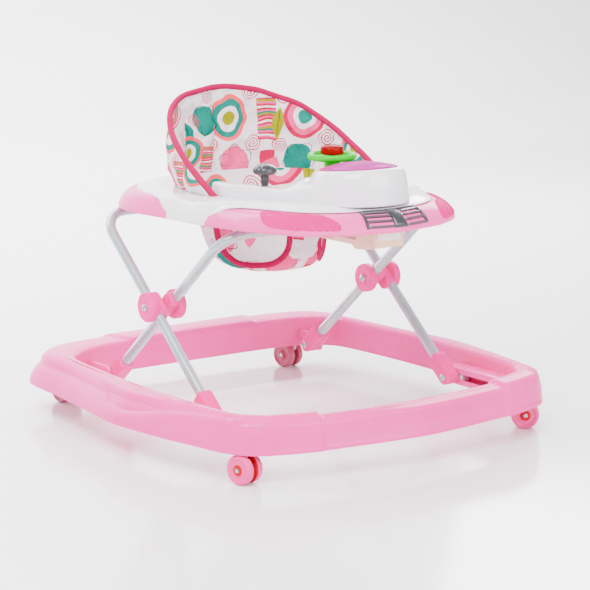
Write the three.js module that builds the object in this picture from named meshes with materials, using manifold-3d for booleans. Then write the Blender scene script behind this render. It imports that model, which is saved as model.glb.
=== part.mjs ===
// Baby walker: wheeled base hoop, scissor legs, play tray and fabric seat.
// Millimetres, +Z up. X = 0 is the symmetry plane, the front faces -Y, the floor is z = 0.
// R is the child's right (-X), L is the child's left (+X).
import * as THREE from 'three';
import { mergeVertices } from 'three/addons/utils/BufferGeometryUtils.js';
import Module from 'manifold-3d';

const wasm = await Module();
wasm.setup();

// ---------- driving dimensions ----------
const GAP = 0.3;
const BORE_CLEAR = 0.45;
const LEG_CLEAR = 0.6;
const SIDES = [['R', -1], ['L', 1]];

// scissor legs: both U-tubes turn about CROSS and are equally long on each side of it
const CROSS = { y: 40, z: 201 };
const LEG_ANGLE = THREE.MathUtils.degToRad(40.5);
const FOOT_REACH = 215.6;
const TOP_REACH = 194;
const TUBE_R = 8;
const TUBE_WALL = 1.2;
const TUBE_BEND = 45;
const OUTER_X = 225;
const INNER_X = 193;
const BOLT_R = 3;
const PIN_R = 4;
const TUBE_END = 14;
const HEAD_R = 6;
const BRACKET = { back: 12, ahead: 42, half: 12 };
const CLAMP = { reach: 25, half: 12, halfX: 13.4, discR: 23, outerDisc: [228, 240], innerDisc: [178, 190] };

// base hoop
const BASE_Z = [45, 97];
const BASE_WALL = 3;
const BASE_OUTER = [[0, -348], [108, -338], [200, -323], [262, -300], [292, -266], [308, -200],
  [326, -97], [334, -20], [326, 60], [315, 150], [309, 230], [300, 298], [255, 333], [160, 346], [0, 348]];
const BASE_INNER = [[0, -303], [110, -297], [200, -280], [252, -252], [268, -200], [273, -80],
  [275, 20], [271, 130], [262, 200], [236, 245], [180, 264], [90, 268], [0, 268]];
// each caster: stem place, and how far its fork has swung, in degrees, with the side it trails to
const CASTERS = [
  { name: 'front_R', x: -273, y: -263, yaw: 14, trail: -1 },
  { name: 'front_L', x: 273, y: -263, yaw: 53, trail: 1 },
  { name: 'back_R', x: -223, y: 301, yaw: 10, trail: 1 },
  { name: 'back_L', x: 223, y: 301, yaw: 10, trail: 1 },
];
const WHEEL_R = 22;
const WHEEL_W = 13;
const CASTER_TRAIL = 7;
const STEM_R = 4;

// front slide channels moulded on the hoop's inner side walls
const CHANNEL_X = [237.8, 270];
const CHANNEL_Y = [-246, -98];
const CHANNEL_Z = [47, 75];
const SHOE = { x: [241, 257], halfY: 14, halfZ: 8 };

// tray
const TRAY_Z = [338, 366];
const TRAY_SLOPE = 20;
const TRAY_WALL = 3;
const TRAY_OUTLINE = [[0, -285], [85, -268], [145, -230], [178, -165], [196, -110], [206, -60],
  [210, 0], [219, 70], [221, 118], [208, 165], [165, 212], [90, 250], [0, 263]];
const COVER_OUTLINE = [[0, -247], [70, -238], [118, -205], [146, -150], [172, -100], [192, -50],
  [196, 0], [200, 50], [196, 110], [180, 155], [140, 196], [80, 226], [0, 238]];
const COVER_TOP = 374;
const OPENING = { y: -24, x: 153, back: 207, front: 58, power: 2.3 };

// seat
const SEAT_WALL = 12;
const SEAT_TOP = 512;
const SEAT_SLANT = { y: -24, z: 381, slope: 0.603 };
const SEAT_BACK = { x: 168, back: 222 };
const POUCH = { y: 50, bottom: 232, wall: 3, depth: 0.9 };
const LEG_HOLE = { x: 105, y: -72, z: 291, halfWidth: 58, halfHeight: 40, turn: THREE.MathUtils.degToRad(34) };
const POUCH_SHAPE = [[0, 0], [62, 3], [92, 14], [106, 34], [116, 74], [128, 112], [138, 133]];

// play console and toys
const CONSOLE_Z = [COVER_TOP + GAP, 391];
const CONSOLE_OUTER = [[0, -250], [45, -242], [80, -200], [92, -150], [120, -95], [146, -45], [150, -8]];
const CONSOLE_INNER = [[132, -8], [118, -40], [84, -68], [44, -84], [0, -90]];
const DOME = { y: -176, rBase: 83, rTop: 63, z: 416, wall: 4 };
const COLUMN = { r: 12, socketR: 13, wellR: 17, clearR: 15 };
const LENS_R = 57;
const WHEEL_POS = { y: -113, z: 429 };
const RING = { r: 33, tube: 4.2 };
const LEVER = { x: -81, y: -52, z: 387 };

// height rack under the tray front
const RACK = { halfX: 27, wall: 2.5, y: [-254, -92], z: [304, 350] };
const RACK_STEPS = [0, -20, -40];

const C = Math.cos(LEG_ANGLE);
const S = Math.sin(LEG_ANGLE);
const FOOT_Z = CROSS.z - FOOT_REACH * S;
const FRONT_PIN = { y: CROSS.y - FOOT_REACH * C, z: FOOT_Z };
const BACK_PIN = { y: CROSS.y + FOOT_REACH * C, z: FOOT_Z };
const TRAY_HINGE = { y: CROSS.y + TOP_REACH * C, z: CROSS.z + TOP_REACH * S };
const RACK_BAR = { y: CROSS.y - TOP_REACH * C, z: CROSS.z + TOP_REACH * S };

// ---------- materials ----------
function plastic(color, roughness = 0.3, metalness = 0) {
  return new THREE.MeshStandardMaterial({ color, roughness, metalness });
}
const FINISH = {
  pink: () => plastic(0xf7afcb),
  clampPink: () => plastic(0xf58ab5),
  white: () => plastic(0xf2edf2, 0.25),
  lens: () => plastic(0xf04aa8, 0.15),
  dark: () => plastic(0x55565e, 0.4),
  green: () => plastic(0x4be03a, 0.3),
  red: () => plastic(0xe01010, 0.3),
  beige: () => plastic(0xf3ddb8, 0.5),
  tube: () => plastic(0xd5dcdd, 0.35, 0.3),
  steel: () => plastic(0xb8bcc0, 0.3, 0.9),
  fabric: () => plastic(0xf6ecee, 0.9),
  board: () => plastic(0xe8e4dc, 0.7),
};

// ---------- solid helpers ----------
function solidOf(geometry) {
  const g = geometry.clone();
  g.deleteAttribute('normal');
  g.deleteAttribute('uv');
  const m = mergeVertices(g, 1e-4);
  const vertProperties = new Float32Array(m.attributes.position.array);
  const triVerts = new Uint32Array(m.index.array);
  return new wasm.Manifold(new wasm.Mesh({ numProp: 3, vertProperties, triVerts }));
}

function geometryOf(solid) {
  const mesh = solid.getMesh();
  const g = new THREE.BufferGeometry();
  g.setAttribute('position', new THREE.BufferAttribute(new Float32Array(mesh.vertProperties), 3));
  g.setIndex(new THREE.BufferAttribute(new Uint32Array(mesh.triVerts), 1));
  return g;
}

const group = new THREE.Group();

function addSolid(name, solid, finish) {
  const mesh = new THREE.Mesh(geometryOf(solid), finish());
  mesh.name = name;
  group.add(mesh);
}

function box(x, y, z) {
  const g = new THREE.BoxGeometry(Math.abs(x[1] - x[0]), y[1] - y[0], z[1] - z[0]);
  g.translate((x[0] + x[1]) / 2, (y[0] + y[1]) / 2, (z[0] + z[1]) / 2);
  return solidOf(g);
}

// a round bar along X between two x values
function barX(x0, x1, y, z, r, n = 16) {
  const g = new THREE.CylinderGeometry(r, r, Math.abs(x1 - x0), n);
  g.rotateZ(Math.PI / 2);
  g.translate((x0 + x1) / 2, y, z);
  return solidOf(g);
}

function postZ(x, y, z, r, n = 20, rTop = r) {
  const g = new THREE.CylinderGeometry(rTop, r, z[1] - z[0], n);
  g.rotateX(Math.PI / 2);
  g.translate(x, y, (z[0] + z[1]) / 2);
  return solidOf(g);
}

function lathe(profile, n) {
  const points = profile.map(([r, z]) => new THREE.Vector2(r, z));
  const g = new THREE.LatheGeometry(points, n);
  g.rotateX(Math.PI / 2);
  return g;
}

// closed smooth outline from the points of its x >= 0 half
function smoothOutline(half, count) {
  const right = half.map(([x, y]) => new THREE.Vector3(x, y, 0));
  const left = half.slice(1, -1).reverse().map(([x, y]) => new THREE.Vector3(-x, y, 0));
  const curve = new THREE.CatmullRomCurve3([...right, ...left], true, 'centripetal');
  return curve.getSpacedPoints(count).slice(0, count).map((p) => new THREE.Vector2(p.x, p.y));
}

// egg outline of the seat opening: a blunt half behind, a shallow one in front
function eggOutline(egg, grow, count) {
  const points = [];
  for (let i = 0; i < count; i += 1) {
    const a = (i / count) * 2 * Math.PI;
    const depth = (a < Math.PI ? egg.back : egg.front) + grow;
    const power = 2 / egg.power;
    const x = Math.sign(Math.cos(a)) * Math.abs(Math.cos(a)) ** power * (egg.x + grow);
    const y = Math.sign(Math.sin(a)) * Math.abs(Math.sin(a)) ** power * depth;
    points.push(new THREE.Vector2(x, egg.y + y));
  }
  return points;
}

// moves each point of a closed outline along its outward normal
function offset(points, distance) {
  const ccw = THREE.ShapeUtils.area(points) > 0 ? 1 : -1;
  return points.map((p, i) => {
    const a = points[(i + points.length - 1) % points.length];
    const b = points[(i + 1) % points.length];
    const t = new THREE.Vector2().subVectors(b, a).normalize();
    return new THREE.Vector2(p.x + t.y * distance * ccw, p.y - t.x * distance * ccw);
  });
}

function prism(outline, z, bevel = 0) {
  const g = new THREE.ExtrudeGeometry(new THREE.Shape(outline), {
    depth: z[1] - z[0] - 2 * bevel, steps: 1, bevelEnabled: bevel > 0, bevelThickness: bevel,
    bevelSize: bevel, bevelOffset: -bevel, bevelSegments: 1,
  });
  g.translate(0, 0, z[0] + bevel);
  return solidOf(g);
}

// outline drawn in the (y, z) plane and extruded along X
function prismX(points, x0, x1) {
  const g = new THREE.ExtrudeGeometry(new THREE.Shape(points.map(([y, z]) => new THREE.Vector2(y, z))), {
    depth: Math.abs(x1 - x0), steps: 1, bevelEnabled: false,
  });
  g.applyMatrix4(new THREE.Matrix4().makeBasis(
    new THREE.Vector3(0, 1, 0), new THREE.Vector3(0, 0, 1), new THREE.Vector3(1, 0, 0)));
  g.translate(Math.min(x0, x1), 0, 0);
  return solidOf(g);
}

// ---------- bent leg tubes ----------
// U-shaped path of straights and arcs; the parameter visits only the points a bend needs
class LegPath extends THREE.Curve {
  constructor(halfWidth, foot, top) {
    super();
    const dir = new THREE.Vector3(0, top.y - foot.y, top.z - foot.z).normalize();
    const start = new THREE.Vector3(0, foot.y, foot.z).addScaledVector(dir, TUBE_END);
    const end = new THREE.Vector3(0, top.y, top.z);
    this.marks = [];
    for (const side of [-1, 1]) {
      const leg = [];
      leg.push(start.clone().setX(side * halfWidth));
      const centre = end.clone().addScaledVector(dir, -TUBE_BEND).setX(side * (halfWidth - TUBE_BEND));
      for (let i = 0; i <= 4; i += 1) {
        const a = (i / 4) * Math.PI / 2;
        const p = centre.clone().addScaledVector(dir, TUBE_BEND * Math.sin(a));
        p.x += side * TUBE_BEND * Math.cos(a);
        leg.push(p);
      }
      this.marks.push(...(side < 0 ? leg : leg.reverse()));
    }
  }

  getPoint(t, target = new THREE.Vector3()) {
    const s = Math.min(t, 0.999999) * (this.marks.length - 1);
    const i = Math.floor(s);
    return target.lerpVectors(this.marks[i], this.marks[i + 1], s - i);
  }

  getPointAt(t, target) {
    return this.getPoint(t, target);
  }

  getTangentAt(t, target) {
    return this.getTangent(t, target);
  }

  getTangent(t, target = new THREE.Vector3()) {
    const n = this.marks.length - 1;
    const i = Math.round(t * n);
    const before = this.marks[Math.max(i - 1, 0)];
    const here = this.marks[i];
    const after = this.marks[Math.min(i + 1, n)];
    const into = new THREE.Vector3().subVectors(here, before).normalize();
    const out = new THREE.Vector3().subVectors(after, here).normalize();
    return target.addVectors(into, out).normalize();
  }

  getSpacedPoints(divisions) {
    return Array.from({ length: divisions + 1 }, (_, i) => this.getPoint(i / divisions));
  }
}

function tubeAlong(path, radius, sides) {
  const circle = new THREE.Shape();
  for (let i = 0; i < sides; i += 1) {
    const a = (i / sides) * 2 * Math.PI;
    const point = [radius * Math.cos(a), radius * Math.sin(a)];
    if (i === 0) circle.moveTo(...point);
    else circle.lineTo(...point);
  }
  circle.closePath();
  const g = new THREE.ExtrudeGeometry(circle, {
    steps: path.marks.length - 1, curveSegments: 1, bevelEnabled: false, extrudePath: path,
  });
  return solidOf(g);
}

function legTube(halfWidth, foot, top) {
  const path = new LegPath(halfWidth, foot, top);
  let tube = tubeAlong(path, TUBE_R, 10);
  const bore = new LegPath(halfWidth, foot, top);
  const last = bore.marks.length - 1;
  const down = new THREE.Vector3(0, foot.y - top.y, foot.z - top.z).normalize();
  bore.marks[0].addScaledVector(down, 1);
  bore.marks[last].addScaledVector(down, 1);
  tube = tube.subtract(tubeAlong(bore, TUBE_R - TUBE_WALL, 6));
  for (const [, side] of SIDES) {
    const reach = [side * (halfWidth - 12), side * (halfWidth + 12)];
    tube = tube.subtract(barX(...reach, CROSS.y, CROSS.z, BOLT_R + BORE_CLEAR, 12));
  }
  return tube;
}

// straight round envelope of a leg near its foot or the crossing
function legEnvelope(x, from, to, radius) {
  const a = new THREE.Vector3(x, from.y, from.z);
  const b = new THREE.Vector3(x, to.y, to.z);
  const g = new THREE.CylinderGeometry(radius, radius, a.distanceTo(b), 12);
  const turn = new THREE.Quaternion().setFromUnitVectors(
    new THREE.Vector3(0, 1, 0), b.clone().sub(a).normalize());
  g.applyQuaternion(turn);
  const mid = a.clone().add(b).multiplyScalar(0.5);
  g.translate(mid.x, mid.y, mid.z);
  return solidOf(g);
}

// stadium-shaped outline in (y, z) along the line from one point towards another
function stadium(from, to, back, ahead, half) {
  const angle = Math.atan2(to.z - from.z, to.y - from.y);
  const points = [];
  for (const [shift, start] of [[ahead - half, -Math.PI / 2], [-back + half, Math.PI / 2]]) {
    for (let i = 0; i <= 4; i += 1) {
      const a = start + (i / 4) * Math.PI;
      const u = shift + half * Math.cos(a);
      const v = half * Math.sin(a);
      points.push([from.y + u * Math.cos(angle) - v * Math.sin(angle),
        from.z + u * Math.sin(angle) + v * Math.cos(angle)]);
    }
  }
  return points;
}

function footBracket(x, pin) {
  const { back, ahead, half } = BRACKET;
  const body = prismX(stadium(pin, CROSS, back, ahead, half), x - half, x + half);
  const reach = { y: pin.y + (CROSS.y - pin.y) * 0.4, z: pin.z + (CROSS.z - pin.z) * 0.4 };
  const k = (TUBE_END - LEG_CLEAR) / FOOT_REACH;
  const floor = { y: pin.y + (CROSS.y - pin.y) * k, z: pin.z + (CROSS.z - pin.z) * k };
  return body
    .subtract(legEnvelope(x, floor, reach, TUBE_R + LEG_CLEAR))
    .subtract(barX(x - 20, x + 20, pin.y, pin.z, PIN_R + BORE_CLEAR, 12));
}

function legClamp(side, x, discX, tubeFoot) {
  const { reach, half, halfX, discR } = CLAMP;
  const saddle = prismX(stadium(CROSS, tubeFoot, reach, reach, half), x - halfX, x + halfX);
  const disc = barX(side * discX[0], side * discX[1], CROSS.y, CROSS.z, discR, 16);
  const far = { y: 2 * CROSS.y - tubeFoot.y, z: 2 * CROSS.z - tubeFoot.z };
  return saddle.add(disc)
    .subtract(legEnvelope(x, tubeFoot, far, TUBE_R + LEG_CLEAR))
    .subtract(barX(side * 170, side * 245, CROSS.y, CROSS.z, BOLT_R + BORE_CLEAR, 12));
}

function addLegs() {
  addSolid('leg_tube_outer', legTube(OUTER_X, FRONT_PIN, TRAY_HINGE), FINISH.tube);
  addSolid('leg_tube_inner', legTube(INNER_X, BACK_PIN, RACK_BAR), FINISH.tube);
  for (const [tag, side] of SIDES) {
    addSolid(`foot_outer_${tag}`, footBracket(side * OUTER_X, FRONT_PIN), FINISH.clampPink);
    addSolid(`foot_inner_${tag}`, footBracket(side * INNER_X, BACK_PIN), FINISH.clampPink);
    const outerClamp = legClamp(side, side * (OUTER_X - 0.2), CLAMP.outerDisc, FRONT_PIN);
    addSolid(`clamp_outer_${tag}`, outerClamp, FINISH.clampPink);
    const innerClamp = legClamp(side, side * (INNER_X + 0.2), CLAMP.innerDisc, BACK_PIN);
    addSolid(`clamp_inner_${tag}`, innerClamp, FINISH.clampPink);
    const bolt = barX(side * 176, side * 242, CROSS.y, CROSS.z, BOLT_R, 12)
      .add(barX(side * 175, side * 177.6, CROSS.y, CROSS.z, HEAD_R, 12))
      .add(barX(side * 240.4, side * 243, CROSS.y, CROSS.z, HEAD_R, 12));
    addSolid(`pivot_bolt_${tag}`, bolt, FINISH.steel);
  }
}

// ---------- feet pins and slide shoes ----------
function addFootPins() {
  for (const [tag, side] of SIDES) {
    const backPin = barX(side * 179, side * 213, BACK_PIN.y, BACK_PIN.z, PIN_R, 12)
      .add(barX(side * 178, side * 180.6, BACK_PIN.y, BACK_PIN.z, HEAD_R, 12));
    addSolid(`foot_pin_back_${tag}`, backPin, FINISH.steel);
    const frontPin = barX(side * 211, side * 252, FRONT_PIN.y, FRONT_PIN.z, PIN_R, 12)
      .add(barX(side * 210, side * 212.6, FRONT_PIN.y, FRONT_PIN.z, HEAD_R, 12));
    addSolid(`foot_pin_front_${tag}`, frontPin, FINISH.steel);
    const y = [FRONT_PIN.y - SHOE.halfY, FRONT_PIN.y + SHOE.halfY];
    const z = [FRONT_PIN.z - SHOE.halfZ, FRONT_PIN.z + SHOE.halfZ];
    const shoe = box([side * SHOE.x[0], side * SHOE.x[1]].sort((a, b) => a - b), y, z)
      .subtract(barX(side * 235, side * 252.3, FRONT_PIN.y, FRONT_PIN.z, PIN_R + GAP, 12));
    addSolid(`slide_shoe_${tag}`, shoe, FINISH.white);
  }
}

// ---------- base hoop ----------
// inverted channel between two outlines, open below
function hollowRing(outer, inner, z, wall, bevel) {
  const below = z[0] - 40;
  const skin = prism(outer, [below, z[1]], bevel).subtract(prism(inner, [below - 1, z[1] + 60]));
  const cavity = prism(offset(outer, -wall), [below - 1, z[1] - wall], bevel)
    .subtract(prism(offset(inner, wall), [below - 2, z[1] + 60]));
  const trim = box([-500, 500], [-500, 500], [below - 10, z[0]]);
  return skin.subtract(cavity).subtract(trim);
}

function slideChannel(side) {
  const xs = (a, b) => [side * a, side * b].sort((p, q) => p - q);
  const body = box(xs(...CHANNEL_X), CHANNEL_Y, CHANNEL_Z);
  const runY = [CHANNEL_Y[0] + 5, CHANNEL_Y[1] - 5];
  const track = box(xs(SHOE.x[0] - 0.5, SHOE.x[1] + 1.5), runY,
    [FOOT_Z - SHOE.halfZ - 0.5, FOOT_Z + SHOE.halfZ + 0.5]);
  const slot = box(xs(CHANNEL_X[0] - 1, SHOE.x[0]), runY, [FOOT_Z - PIN_R - 1, FOOT_Z + PIN_R + 1]);
  return { body, cut: track.add(slot) };
}

function addBase() {
  let hoop = hollowRing(smoothOutline(BASE_OUTER, 44), smoothOutline(BASE_INNER, 36), BASE_Z, BASE_WALL, 12);
  for (const [, side] of SIDES) {
    const channel = slideChannel(side);
    hoop = hoop.add(channel.body).subtract(channel.cut);
    const lugX = [side * 206, side * 212].sort((a, b) => a - b);
    const lug = prismX(stadium(BACK_PIN, { y: 500, z: BACK_PIN.z }, 13, 72, 13), ...lugX);
    hoop = hoop.add(lug).subtract(barX(side * 200, side * 220, BACK_PIN.y, BACK_PIN.z, PIN_R + GAP, 12));
  }
  for (const { x, y } of CASTERS) {
    hoop = hoop.add(postZ(x, y, [48, BASE_Z[1] - 2], 10, 16))
      .subtract(postZ(x, y, [47, 70], STEM_R + BORE_CLEAR, 12));
  }
  addSolid('base_hoop', hoop, FINISH.pink);
}

// ---------- casters ----------
// made with the stem on the Z axis and the axle along X, then turned and put in place
function casterFork(axleY) {
  const plate = prismX([[-8, 46], [-8, 34], [axleY - 6, 15], [axleY, 13], [axleY + 6, 15],
    [axleY + 6, 32], [8, 46]], -3, 3);
  return plate.add(postZ(0, 0, [44.6, 47.6], 8, 16))
    .add(postZ(0, 0, [40, 66], STEM_R, 12))
    .subtract(barX(-5, 5, axleY, WHEEL_R, 2.95, 10));
}

function casterWheel(axleY, outward) {
  const profile = [[2.9, 0], [20.5, 0], [22, 2], [22, WHEEL_W - 2], [20, WHEEL_W],
    [5.2, WHEEL_W], [5.2, WHEEL_W - 3], [2.9, WHEEL_W - 3], [2.9, 0]];
  const g = lathe(profile, 16);
  g.rotateY(outward * Math.PI / 2);
  g.translate(outward * 4, axleY, WHEEL_R);
  return solidOf(g);
}

function casterAxle(axleY) {
  const end = 4 + WHEEL_W;
  return barX(-end + 1, end - 1, axleY, WHEEL_R, 2.4, 10)
    .add(barX(-end + 0.6, -end + 2.6, axleY, WHEEL_R, 4.6, 10))
    .add(barX(end - 2.6, end - 0.6, axleY, WHEEL_R, 4.6, 10));
}

function addCasters() {
  for (const { name, x, y, yaw, trail } of CASTERS) {
    const axleY = trail * CASTER_TRAIL;
    const place = (solid) => solid.rotate([0, 0, yaw]).translate([x, y, 0]);
    addSolid(`caster_${name}_fork`, place(casterFork(axleY)), FINISH.white);
    addSolid(`caster_${name}_wheel_1`, place(casterWheel(axleY, -1)), FINISH.clampPink);
    addSolid(`caster_${name}_wheel_2`, place(casterWheel(axleY, 1)), FINISH.clampPink);
    addSolid(`caster_${name}_axle`, place(casterAxle(axleY)), FINISH.steel);
  }
}

// ---------- tray ----------
function trayBlock(grow) {
  const outline = offset(smoothOutline(TRAY_OUTLINE, 36), grow);
  return prism(outline, [TRAY_Z[0] - 40, TRAY_Z[1] + grow], TRAY_SLOPE);
}

function addTray() {
  const hole = eggOutline(OPENING, 0, 28);
  const shell = hollowRing(smoothOutline(TRAY_OUTLINE, 36), hole, TRAY_Z, TRAY_WALL, TRAY_SLOPE);
  addSolid('tray_shell', shell, FINISH.pink);
  const cover = hollowRing(smoothOutline(COVER_OUTLINE, 32), hole, [TRAY_Z[1] + GAP, COVER_TOP], 2.5, 2);
  addSolid('tray_cover', cover, FINISH.white);
}

// thin plates that follow the sloping front edge of the tray
function slopePlate(outline, thickness) {
  const reach = prism(outline.map(([x, y]) => new THREE.Vector2(x, y)), [TRAY_Z[0] + 4, TRAY_Z[1] - 1.5]);
  return trayBlock(thickness).subtract(trayBlock(0.4)).intersect(reach);
}

function addLamps() {
  for (const [tag, side] of SIDES) {
    const outline = [[92, -300], [98, -232], [140, -180], [163, -146], [230, -146], [230, -300]]
      .map(([x, y]) => [side * x, y]);
    addSolid(`headlight_${tag}`, slopePlate(side > 0 ? outline : outline.reverse(), 2.4), FINISH.lens);
  }
  let grille = slopePlate([[-50, -300], [50, -300], [50, -240], [-50, -240]], 2.4);
  for (const [, side] of SIDES) {
    for (let i = 0; i < 4; i += 1) {
      const y = -276.5 + i * 6.2;
      const slot = [side * 10, side * (42 + i)].sort((a, b) => a - b);
      grille = grille.subtract(box(slot, [y, y + 3.2], [330, 370]));
    }
  }
  addSolid('grille', grille, FINISH.dark);
}

// clips under the tray that hold the outer tube's cross piece
function addTrayClips() {
  for (const [tag, side] of SIDES) {
    const x = [side * 95, side * 119].sort((a, b) => a - b);
    const { y, z } = TRAY_HINGE;
    const clip = box(x, [y - 13, y + 13], [z - 12, TRAY_Z[1] - TRAY_WALL - GAP])
      .subtract(barX(side * 80, side * 130, y, z, TUBE_R + 0.5, 16));
    addSolid(`tray_clip_${tag}`, clip, FINISH.white);
  }
}

function addRack() {
  const { halfX, wall, y, z } = RACK;
  const bar = RACK_BAR;
  let rack = prismX([[y[1], z[0] + 12], [y[1], z[1]], [y[0], z[1]], [y[0], z[0] + 6], [y[0] + 48, z[0]],
    [y[0] + 54, z[0] + 6], [y[1] - 30, z[0] + 12]], -halfX, halfX);
  rack = rack.subtract(box([-halfX + wall, halfX - wall], [y[0] + wall, y[1] + 1], [z[0] - 1, z[1] - wall]));
  const slotR = TUBE_R + 0.8;
  rack = rack.subtract(box([-halfX - 1, halfX + 1], [y[0] + 46, y[1] + 1], [bar.z - slotR, bar.z + slotR]));
  for (const step of RACK_STEPS) {
    rack = rack.subtract(barX(-halfX - 1, halfX + 1, bar.y + step, bar.z + 2, slotR, 16));
  }
  const pivotY = y[0] + 12;
  const pivotZ = z[0] + 14;
  rack = rack.subtract(barX(-halfX - 1, halfX + 1, pivotY, pivotZ, 2.9, 10));
  addSolid('height_rack', rack, FINISH.beige);
  const inner = halfX - wall - 1;
  const lever = prismX([[pivotY - 5, pivotZ - 5], [pivotY + 60, pivotZ - 9], [pivotY + 138, pivotZ - 9],
    [pivotY + 138, pivotZ - 6], [pivotY + 60, pivotZ - 6], [pivotY + 6, pivotZ + 5], [pivotY - 5, pivotZ + 5]],
  -inner, inner).add(barX(-halfX - 1.5, halfX + 1.5, pivotY, pivotZ, 2.4, 10));
  addSolid('lock_lever', lever, FINISH.beige);
}

// ---------- play console ----------
function addConsole() {
  const half = [...CONSOLE_OUTER, ...CONSOLE_INNER];
  const right = half.map(([x, y]) => new THREE.Vector2(x, y));
  const left = half.slice(1, -1).reverse().map(([x, y]) => new THREE.Vector2(-x, y));
  let body = prism([...right, ...left], CONSOLE_Z, 2)
    .add(postZ(0, DOME.y, [CONSOLE_Z[0], DOME.z], DOME.rBase, 24, DOME.rTop));
  const { wall } = DOME;
  const hollow = postZ(0, DOME.y, [CONSOLE_Z[0] - 1, DOME.z - 6], DOME.rBase - wall, 24, DOME.rTop - wall);
  body = body.subtract(hollow.subtract(postZ(0, WHEEL_POS.y, [370, DOME.z], COLUMN.wellR, 20)));
  body = body.subtract(postZ(0, WHEEL_POS.y, [CONSOLE_Z[0] + 6, 440], COLUMN.socketR, 20));
  body = body.subtract(postZ(0, DOME.y, [DOME.z - 3, 440], LENS_R + 0.9, 24));
  const { x, y, z } = LEVER;
  body = body.subtract(box([x - 4, x + 4], [y - 12, y + 12], [z - 11, z + 10]));
  addSolid('play_console', body, FINISH.white);
  const steerClear = postZ(0, WHEEL_POS.y, [380, 440], COLUMN.clearR, 20);
  addSolid('picture_disc', postZ(0, DOME.y, [DOME.z - 2.7, DOME.z - 1.2], LENS_R - 1, 24).subtract(steerClear),
    FINISH.lens);
  const lens = lathe([[0, 0], [LENS_R, 0], [LENS_R, 2.5], [LENS_R - 8, 4.5], [30, 6.5], [0, 7.5]], 24);
  lens.translate(0, DOME.y, DOME.z - 0.9);
  addSolid('dome_lens', solidOf(lens).subtract(steerClear), FINISH.lens);
}

function addToys() {
  const { y, z } = WHEEL_POS;
  const ringProfile = [];
  for (let i = 0; i <= 6; i += 1) {
    const a = (i / 6) * 2 * Math.PI;
    ringProfile.push([RING.r + RING.tube * Math.cos(a), RING.tube * Math.sin(a)]);
  }
  const ringGeometry = lathe(ringProfile, 20);
  ringGeometry.translate(0, y, z);
  let ring = solidOf(ringGeometry);
  for (let i = 0; i < 3; i += 1) {
    const spoke = new THREE.BoxGeometry(RING.r - 6, 9, 4);
    spoke.translate((RING.r - 6) / 2 + 6, 0, 0);
    spoke.rotateZ(Math.PI / 2 + i * 2 * Math.PI / 3);
    spoke.translate(0, y, z - 1);
    ring = ring.add(solidOf(spoke));
  }
  ring = ring.add(postZ(0, y, [CONSOLE_Z[0] + 7, z + 1], COLUMN.r, 14));
  ring = ring.subtract(postZ(0, y, [z - 12, z + 2], 6, 12));
  addSolid('steering_wheel', ring, FINISH.green);
  const horn = postZ(0, y, [z + 5, z + 18], 18, 16).add(postZ(0, y, [z - 8, z + 6], 5, 12));
  addSolid('horn_button', horn, FINISH.red);
  const stem = prismX([[LEVER.y - 4, LEVER.z - 8], [LEVER.y + 4, LEVER.z - 8], [LEVER.y + 3.5, LEVER.z + 16],
    [LEVER.y - 3.5, LEVER.z + 16]], LEVER.x - 3.5, LEVER.x + 3.5);
  const knob = lathe([[0, 0], [14, 1], [19, 6], [17, 12], [10, 16], [0, 17.5]], 14);
  knob.translate(LEVER.x, LEVER.y, LEVER.z + 15);
  addSolid('gear_lever', stem.add(solidOf(knob)), FINISH.dark);
}

// ---------- seat ----------
function slantedRing(outer, inner, z, slantDrop, yFront) {
  const ring = prism(outer, [z, SEAT_TOP]).subtract(prism(inner, [z - 5, SEAT_TOP + 5]));
  const rise = (y) => SEAT_SLANT.z - slantDrop + SEAT_SLANT.slope * (y - SEAT_SLANT.y);
  const above = prismX([[-400, rise(-400)], [400, rise(400)], [400, 900], [-400, 900]], -400, 400);
  return ring.subtract(above).subtract(box([-400, 400], [-400, yFront], [300, 600]));
}

function addSeat() {
  const wallEgg = { y: SEAT_SLANT.y, x: SEAT_BACK.x, back: SEAT_BACK.back, front: 60, power: OPENING.power };
  const bottom = COVER_TOP + 1;
  const back = slantedRing(eggOutline(wallEgg, 0, 32), eggOutline(wallEgg, -SEAT_WALL, 32), bottom, 0,
    SEAT_SLANT.y);
  const pocket = slantedRing(eggOutline(wallEgg, -3.7, 32), eggOutline(wallEgg, -7.3, 32), bottom - 3, 9, 0);
  addSolid('seat_back', back.subtract(pocket), FINISH.fabric);
  const board = slantedRing(eggOutline(wallEgg, -4.3, 32), eggOutline(wallEgg, -6.7, 32), bottom, 12, 6);
  addSolid('seat_board', board, FINISH.board);

  const outside = POUCH_SHAPE.map(([r, h]) => [r, POUCH.bottom + h]);
  const inside = POUCH_SHAPE.map(([r, h]) => [Math.max(r - POUCH.wall, 0), POUCH.bottom + h + POUCH.wall]);
  inside[inside.length - 1][1] = outside[outside.length - 1][1];
  const bowl = lathe([...outside, ...inside.reverse()], 24);
  bowl.scale(1, POUCH.depth, 1);
  bowl.translate(0, POUCH.y, 0);
  let pouch = solidOf(bowl);
  for (const [, side] of SIDES) {
    const hole = new THREE.CylinderGeometry(1, 1, 200, 14);
    hole.scale(LEG_HOLE.halfWidth, 1, LEG_HOLE.halfHeight);
    hole.rotateZ(side * LEG_HOLE.turn);
    hole.translate(side * LEG_HOLE.x, LEG_HOLE.y, LEG_HOLE.z);
    pouch = pouch.subtract(solidOf(hole));
  }
  addSolid('seat_pouch', pouch, FINISH.fabric);
}

function addSeatHooks() {
  const places = [['front', 110, 28], ['back', 118, 118]];
  for (const [place, x, y] of places) {
    for (const [tag, side] of SIDES) {
      const at = side * (x + 30);
      const hook = box([at - 2, at + 2].sort((a, b) => a - b), [y - 8, y + 8], [343, 361]);
      addSolid(`seat_hook_${place}_${tag}`, hook, FINISH.white);
    }
  }
}

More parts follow.
